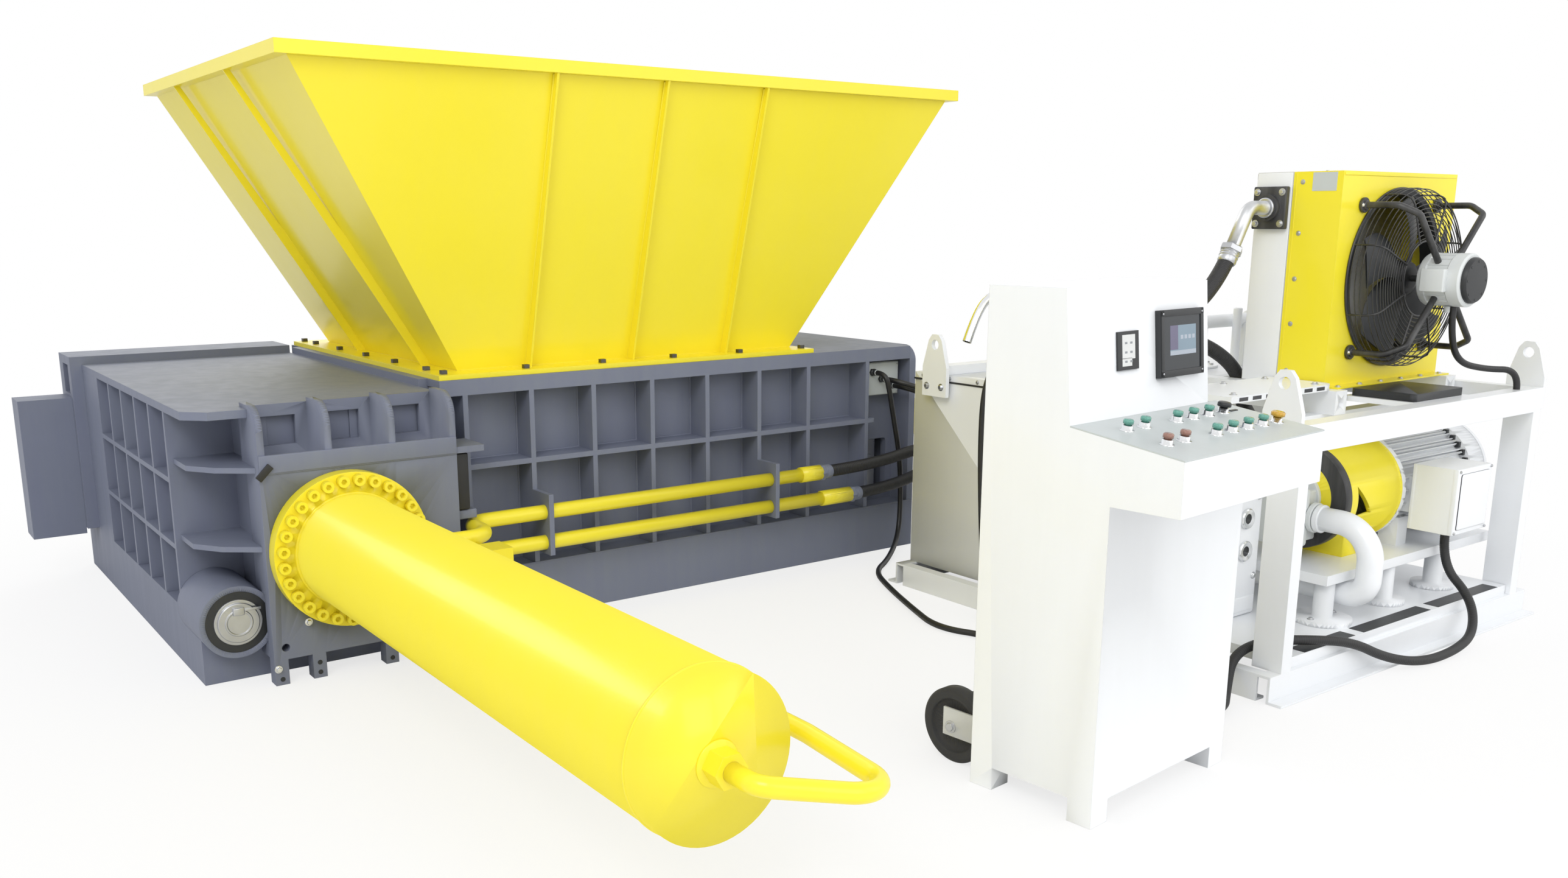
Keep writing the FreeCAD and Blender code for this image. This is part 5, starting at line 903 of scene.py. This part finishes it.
make("return_line_tube", [disc(0.03, 3.46, 4.12, RETURN, RIGHT, 32),
                          disc(0.044, 3.5, 3.53, RETURN, RIGHT, 32, 0.003),
                          disc(0.044, 4.03, 4.06, RETURN, RIGHT, 32, 0.003),
                          disc(0.02, 0.995, 1.275, (3.85, -2.26, 0), UP, 32, 0.004)]
     + [block((x, -2.235, 0.994), (x + 0.05, -2.165, 1.2), 0.006) for x in (3.62, 3.96)],
     "white_paint")

# %% Bolts on the frame, and painted shade in its gaps and slots
frame_bolts = []
for x, way in ((2.523, LEFT), (4.33, RIGHT)):
    for y in (-3.344, -1.64):
        frame_bolts += bolts(spots(x, (y - 0.045, y + 0.045), 0.945), way, 0.011, 0.01)
frame_bolts += bolts(spots((2.72, 2.98, 3.26), (-3.02, -2.8), 1.04), UP, 0.01, 0.009)
frame_bolts += bolts(spots((3.05, 3.21), (-3.218, -2.73), 0.16), UP, 0.009, 0.008)
make("frame_bolts", frame_bolts, "bare_steel")
# Black strips fill the gaps between the trays: painted shade.
make("tray_gap_painted_shade", blocks(0.001, 1, *((low, -3.398, 0.1385, high, -3.335, 0.1412)
                                     for low, high in ((2.72, 3.06), (3.12, 3.62), (3.68, 4.18)))),
     "black_plastic")
# Dark strips stand in for the slab's slots: painted shade.
make("slab_slot_painted_shade", blocks(0.0008, 1, *((x, -3.0612, 1.02, x + 0.055, -3.0592, 1.034)
                                       for x in 2.7 + 0.085 * np.arange(7))), "dark_steel")

# %% [markdown]
# ## Press
# Heavy plate is joined by weld beads, and a bead is a thin rod laid into the corner with a
# ripple along it.  The feed cylinder's flange is bolted, the lock cylinder has a bright disc in
# its sleeve, and the main barrel carries a ring of weld at both ends.


# %% Press details
def bead(start, end, size):
    """A weld: a small tube whose radius ripples along the run."""
    ripple = 0.012
    start, end = np.array(start, float), np.array(end, float)
    length = np.linalg.norm(end - start)
    t = np.linspace(0, 1, max(4, int(length / ripple) * 2))
    line = start + (end - start) * t[:, None]
    swell = size * (1 + 0.1 * np.cos(t * length / ripple * 2 * math.pi))
    return sweep(line, circle(1.0, 8)[None] * swell[:, None, None])


WEB, BASE, SIDE = -0.8205, -0.9495, -0.4525
welds = [bead((x + edge, WEB, 0.24), (x + edge, WEB, 1.01), 0.005)
         for x in 0.576 + 0.2952 * np.arange(7) for edge in (0, 0.022)]
welds += [bead((0.48, WEB, 0.696), (2.78, WEB, 0.696), 0.005),
          bead((0.46, BASE, 0.239), (3.05, BASE, 0.239), 0.004)]
welds += [bead((SIDE, -0.745, z), (SIDE, 0.525, z), 0.005) for z in (0.481, 0.737)]
make("box_welds", welds, "grey_blue_paint", keep_angle=70)
welds = [bead((x + edge, -0.7935, 1.067), (x + edge, -1.1475, 2.222), 0.004)
         for x in 0.93 + 0.505 * np.arange(3) for edge in (0, 0.01)]
welds.append(bead((0.64, -0.7935, 1.067), (2.34, -0.7935, 1.067), 0.006))
make("hopper_welds", welds, "yellow_paint", keep_angle=70)
AXIS = 0.487
make("barrel_welds", [wire_ring(0.2105, 0.008, (0, -1.2285, AXIS), BACK, 96, 10),
                      wire_ring(0.2095, 0.004, (0, -3.527, AXIS), BACK, 96, 8),
                      disc(0.058, -0.001, 0.006, (0, -3.587, 0.476), OUT, 48, 0.002),
                      wire_ring(0.0255, 0.0045, (0.4, -1.5205, 0.44), BACK, 40, 8)],
     "yellow_paint", keep_angle=60)
make("feed_flange_bolts", bolts([(3.098, 0.145 * math.cos(a), AXIS + 0.145 * math.sin(a))
                                 for a in turns(12)], RIGHT, 0.014, 0.014),
     "dark_steel")
make("feed_ports", [disc(0.034, 0.105, 0.15, (x, 0, AXIS), UP, 32, 0.003)
                    for x in (4.7, 3.22)], "yellow_paint")
LOCK = np.array([-0.395, -1.08, 0.241])
face = [(0, 0.0135), (0.041, 0.0135), (0.043, 0.0165), (0.048, 0.0165), (0.05, 0.0135),
        (0.072, 0.0135), (0.0745, 0.011), (0.0745, 0.004), (0.085, 0.004), (0.086, 0.002),
        (0.086, -0.02), (0, -0.02), (0, 0.0135)]
make("lock_face", [lathe(face, LOCK, OUT, 72),
                   block((-0.415, -1.106, 0.272), (-0.375, -1.093, 0.3), 0.003),
                   block((-0.377, -1.099, 0.283), (-0.315, -1.094, 0.293), 0.001)], "bare_steel")
# A black ring set back between the lock's face and its sleeve: painted shade in the gap.
make("lock_gap_painted_shade", [band(0.084, 0.1145, -0.022, -0.002, LOCK, OUT, 72)], "black_plastic")
make("gate_tube_collars", [band(0.044, 0.06, x, x + 0.03, (0, 0.9955, 0.537), RIGHT, 40)
                           for x in (0.447, 0.78, 1.095)], "yellow_paint")
FACE = -1.168
make("bulkhead_plugs", bolts([(-0.168, FACE, 0.223), (-0.29, FACE, 0.063)], OUT, 0.01, 0.014),
     "chrome_ring")
# Black discs stand in for the holes in the bulkhead's feet: painted shade.
make("foot_hole_painted_shade", [disc(0.009, -0.001, 0.0012, (x, FACE, z), OUT, 24, 0.0003) for x, z in
                    ((-0.1376, 0.06), (-0.1376, 0.022), (0.1412, 0.022), (-0.277, 0.022))],
     "black_plastic")
make("bulkhead_band", [block((-0.3005, -1.176, 0.792), (0.4435, -1.16, 0.858), 0.003),
                       bead((-0.3, -1.169, 0.79), (0.443, -1.169, 0.79), 0.0035)],
     "grey_blue_paint")
make("bulkhead_seal", [block((0.4455, -1.15, 0.56), (0.5, -1.05, 0.785), 0.006)],
     "black_rubber")
make("bulkhead_clamp", [block((0.4455, -1.14, 0.52), (0.53, -1.095, 0.556), 0.004)],
     "grey_blue_paint")
half = math.sqrt(0.5)
turned = np.array([[half, 0, half], [0, 1, 0], [-half, 0, half]])
make("bulkhead_tag", [block((-0.033, -0.005, -0.013), (0.033, 0.004, 0.013), 0.002) @ turned
                      + [-0.286, -1.18, 0.798]], "black_rubber")
make("pocket_liner", [block((-0.28, -0.952, 0.822), (0.42, -0.94, 0.984), 0.001, 1)],
     "grey_blue_paint")
make("gate_bolts", bolts(spots((-0.5, -0.3, 0.3, 0.4), 1.151, (0.3, 0.6, 0.95)), BACK,
                         0.016, 0.014), "dark_steel")

# %% Junction box
make("junction_lid", [block((2.757, -0.8935, 0.802), (2.988, -0.886, 0.963), 0.003)],
     "plate_grey")
nut = [(0, 0), (0.02, 0), (0.02, 0.012), (0.018, 0.014), (0, 0.014)]
glands = []
for cable in ("floor_cable", "second_cable", "third_cable"):
    x, _, z = np.array(ROUTES[cable][0][0]) * MM
    glands += [lathe(nut, (x, -0.893, z), OUT, 6),
               disc(0.0165, 0.014, 0.036, (x, -0.893, z), OUT, 24, 0.003)]
make("junction_glands", glands, "black_plastic")
make("junction_screws", bolts(spots((2.766, 2.979), -0.8935, (0.812, 0.953)), OUT, 0.004, 0.002,
                              False), "bare_steel")

# %% [markdown]
# ## Control console
# The console is a folded sheet-metal box on four feet with two rubber wheels behind it.  Its
# pieces are worked out in its own axes, across, back and up, and turned by 5.5 degrees into
# place: x = x0 + cos(turn) across - sin(turn) back, y = y0 + sin(turn) across + cos(turn) back.

# %% Console details
DESK_FRONT, DESK_REAR, DESK_LOW = 0.208, 0.139, 1.079
SLOPE = math.radians(8)
DESK_HIGH = DESK_LOW + (DESK_FRONT + DESK_REAR) * math.tan(SLOPE)
PANEL_LEAN = (0.172 - DESK_REAR) / (1.498 - DESK_HIGH)


def panel_place(points):
    """Points across, up and out from the leaning upper panel."""
    x, z, out = np.moveaxis(np.asarray(points, float), -1, 0)
    tilt = math.atan(PANEL_LEAN)
    back = DESK_REAR + (z - DESK_HIGH) * PANEL_LEAN - out * math.cos(tilt)
    return console_place(np.stack([x, back, z + out * math.sin(tilt)], -1))


def desk_place(points):
    """Points across, up the slope and out from the desk plate."""
    x, up, out = np.moveaxis(np.asarray(points, float), -1, 0)
    rise = DESK_LOW + 0.004 / math.cos(SLOPE)
    return console_place(np.stack([x, -DESK_FRONT + math.cos(SLOPE) * up - math.sin(SLOPE) * out,
                                   rise + math.sin(SLOPE) * up + math.cos(SLOPE) * out], -1))


def panel_part(name, finish, corner, size, *rows):
    """Thin tiles on the upper panel, by their low and high x, z and out in shares of a field."""
    tiles = [panel_place(block(*(np.array(corner) + np.array(end) * size
                                 for end in (row[:3], row[3:])),
                               min(0.0006, (row[5] - row[2]) / 2.5), 1)) for row in rows]
    make(name, tiles, "black_plastic").data.materials[0] = FINISHES[finish]


SCREEN, SCREEN_SIZE = np.array([0.425, 1.225, 0]), (0.235, 0.195, 1)
bezel = blocks(0.002, 3, (0.002, 0.002, 0.0155, 0.233, 0.02, 0.0205),
               (0.002, 0.175, 0.0155, 0.233, 0.193, 0.0205),
               (0.002, 0.002, 0.0155, 0.018, 0.193, 0.0205),
               (0.217, 0.002, 0.0155, 0.233, 0.193, 0.0205))
make("screen_bezel", [panel_place(p + SCREEN) for p in bezel], "black_plastic")
panel_part("screen_glass", "screen_dark", SCREEN, SCREEN_SIZE,
           (0.07, 0.08, 0.0155, 0.93, 0.92, 0.017))
panel_part("screen_view", "screen_blue", SCREEN, SCREEN_SIZE,
           (0.22, 0.32, 0.0168, 0.82, 0.76, 0.0174))
panel_part("screen_menu", "screen_plum", SCREEN, SCREEN_SIZE,
           (0.22, 0.4, 0.0172, 0.4, 0.76, 0.0176))
panel_part("screen_bar", "screen_pale", SCREEN, SCREEN_SIZE,
           (0.22, 0.32, 0.0172, 0.82, 0.385, 0.0176),
           *((x, 0.55, 0.0172, x + 0.06, 0.61, 0.0176) for x in 0.46 + 0.09 * np.arange(4)))
panel_out = panel_place((0, 0, 1)) - panel_place((0, 0, 0))
screws = [panel_place(SCREEN + np.array(place) * SCREEN_SIZE)
          for place in spots((0.05, 0.95), (0.06, 0.94), 0.0195)]
make("screen_screws", [p for screw in screws for p in bolts([screw], panel_out, 0.0035, 0.002,
                                                            False)], "bare_steel")
LABEL = (0.225, 1.262, 0)
panel_part("legend_label", "label_white", LABEL, 1, (0.022, 0.03, 0.0055, 0.086, 0.098, 0.0066),
           (0.022, 0.01, 0.0055, 0.07, 0.034, 0.0066))
panel_part("legend_marks", "label_mark", LABEL, 1,
           *((0.034 + x, 0.02 + z, 0.0064, 0.046 + x, 0.026 + z, 0.007)
             for x in (0, 0.026) for z in (0, 0.026, 0.052)))
# A thin black strip lies on the desk.
make("desk_black_strip", [desk_place(block((0.668, 0.246, -0.001), (0.708, 0.256, 0.0025), 0.001))],
     "black_plastic")

door = blocks(0.002, 3, (0.03, 0.4285, 0.15, 0.685, 0.4325, 1.44),
              *((x, 0.43, z, x + 0.18, 0.4345, z + 0.011)
                for x in (0.12, 0.42) for z in 0.3 + 0.022 * np.arange(9)))
make("console_door", [console_place(g) for g in door], "white_paint")
latch = [disc(0.008, z, z + 0.07, (0.694, 0.434, 0), UP, 16) for z in (0.28, 0.78, 1.26)]
latch += [disc(0.013, 0, 0.008, (0.055, 0.432, 0.8), BACK, 24, 0.002),
          block((0.05, 0.438, 0.76), (0.06, 0.446, 0.84), 0.003)]
make("console_latch", [console_place(g) for g in latch], "bare_steel")
nuts = []
for name, left in (("left", 0.07), ("right", 0.595)):
    axle, tread = np.array([left, 0.562, 0.122]), []
    for x, way in ((-0.011, LEFT), (0.061, RIGHT)):
        nuts += bolts([axle + [x, 0, 0]], way, 0.014, 0.009)
    for a in turns(40):
        out = np.array([0, math.cos(a), math.sin(a)])
        along = np.array([0, -math.sin(a), math.cos(a)])
        lug = axle + [0.1205 * out + 0.0035 * s * along + 0.0012 * r * out
                      for s, r in ((1, 1), (-1, 1), (-1, -1), (1, -1))]
        tread.append(console_place(capped(np.stack([lug + [0.01, 0, 0], lug + [0.04, 0, 0]]))))
    make(f"wheel_{name}_tread", tread, "rubber_wheel", f"wheel_{name}_body", 20)
make("wheel_nuts", [console_place(g) for g in nuts], "bare_steel")

# %% [markdown]
# ## Studio
# The picture needs a white floor, a white surround and soft light.  The floor glows more the
# farther it is from the baler, so it keeps a soft shadow and has no horizon.  The surround is
# white only to the camera and in reflections, and lights the object more gently.  A large lamp
# from the upper left shapes the forms, and three weaker ones open the shadows.

# %% Floor, world and lamps
ground = bpy.data.meshes.new("floor")
ground.from_pydata([(-30, -30, -0.001), (30, -30, -0.001), (30, 30, -0.001), (-30, 30, -0.001)],
                   [], [(0, 1, 2, 3)])
floor = bpy.data.objects.new("floor", ground)
scene.collection.objects.link(floor)
tone = Finish("floor")
tone.set(base_color=(0.9, 0.9, 0.9), roughness=0.9, specular_ior_level=0.0)
away = ((tone.part(0) - 1.5) ** 2.0 + (tone.part(1) + 1.5) ** 2.0) * 0.012
glow = tone.node("Emission", sockets={"Color": (1, 1, 1, 1), "Strength": 1.0})
seen = tone.node("LightPath", output="Is Camera Ray")
share = tone.math("ADD", away, 0.7, clamp=True)
both = tone.node("MixShader", sockets={0: seen * share, 1: Wire(tone, tone.shader.outputs[0]),
                                       2: glow})
tone.tree.links.new(both.socket, tone.tree.nodes["Material Output"].inputs["Surface"])
ground.materials.append(tone.material)

world = bpy.data.worlds.new("studio")
scene.world = world
AMBIENT = 0.76
sky = Nodes(world)
background = sky.tree.nodes["Background"].inputs
sky.plug(background["Color"], (1, 1, 1, 1))
seen = sky.math("MAXIMUM", sky.node("LightPath", output="Is Camera Ray"),
                sky.node("LightPath", output="Is Glossy Ray"))
sky.plug(background["Strength"], seen * (1 - AMBIENT) + AMBIENT)


def lamp(name, place, target, size, power):
    """A square area lamp at a place, turned towards a target."""
    data = bpy.data.lights.new(name, "AREA")
    data.size, data.energy = size, power
    light = bpy.data.objects.new(name, data)
    light.location = place
    aim = np.array(target, float) - np.array(place, float)
    light.rotation_euler = (math.acos(-aim[2] / np.linalg.norm(aim)), 0,
                            math.atan2(aim[1], aim[0]) - math.pi / 2)
    scene.collection.objects.link(light)


lamp("key", (-5.0, -7.0, 7.5), (1.0, -1.5, 0.8), 4.0, 318)
lamp("front", (1.0, -10.0, 4.5), (1.0, -1.0, 0.6), 5.0, 120)
lamp("fill", (6.5, -8.0, 4.0), (2.5, -2.0, 0.8), 5.0, 80)
lamp("rear", (3.0, 7.0, 6.0), (1.5, 0.0, 1.0), 6.0, 200)
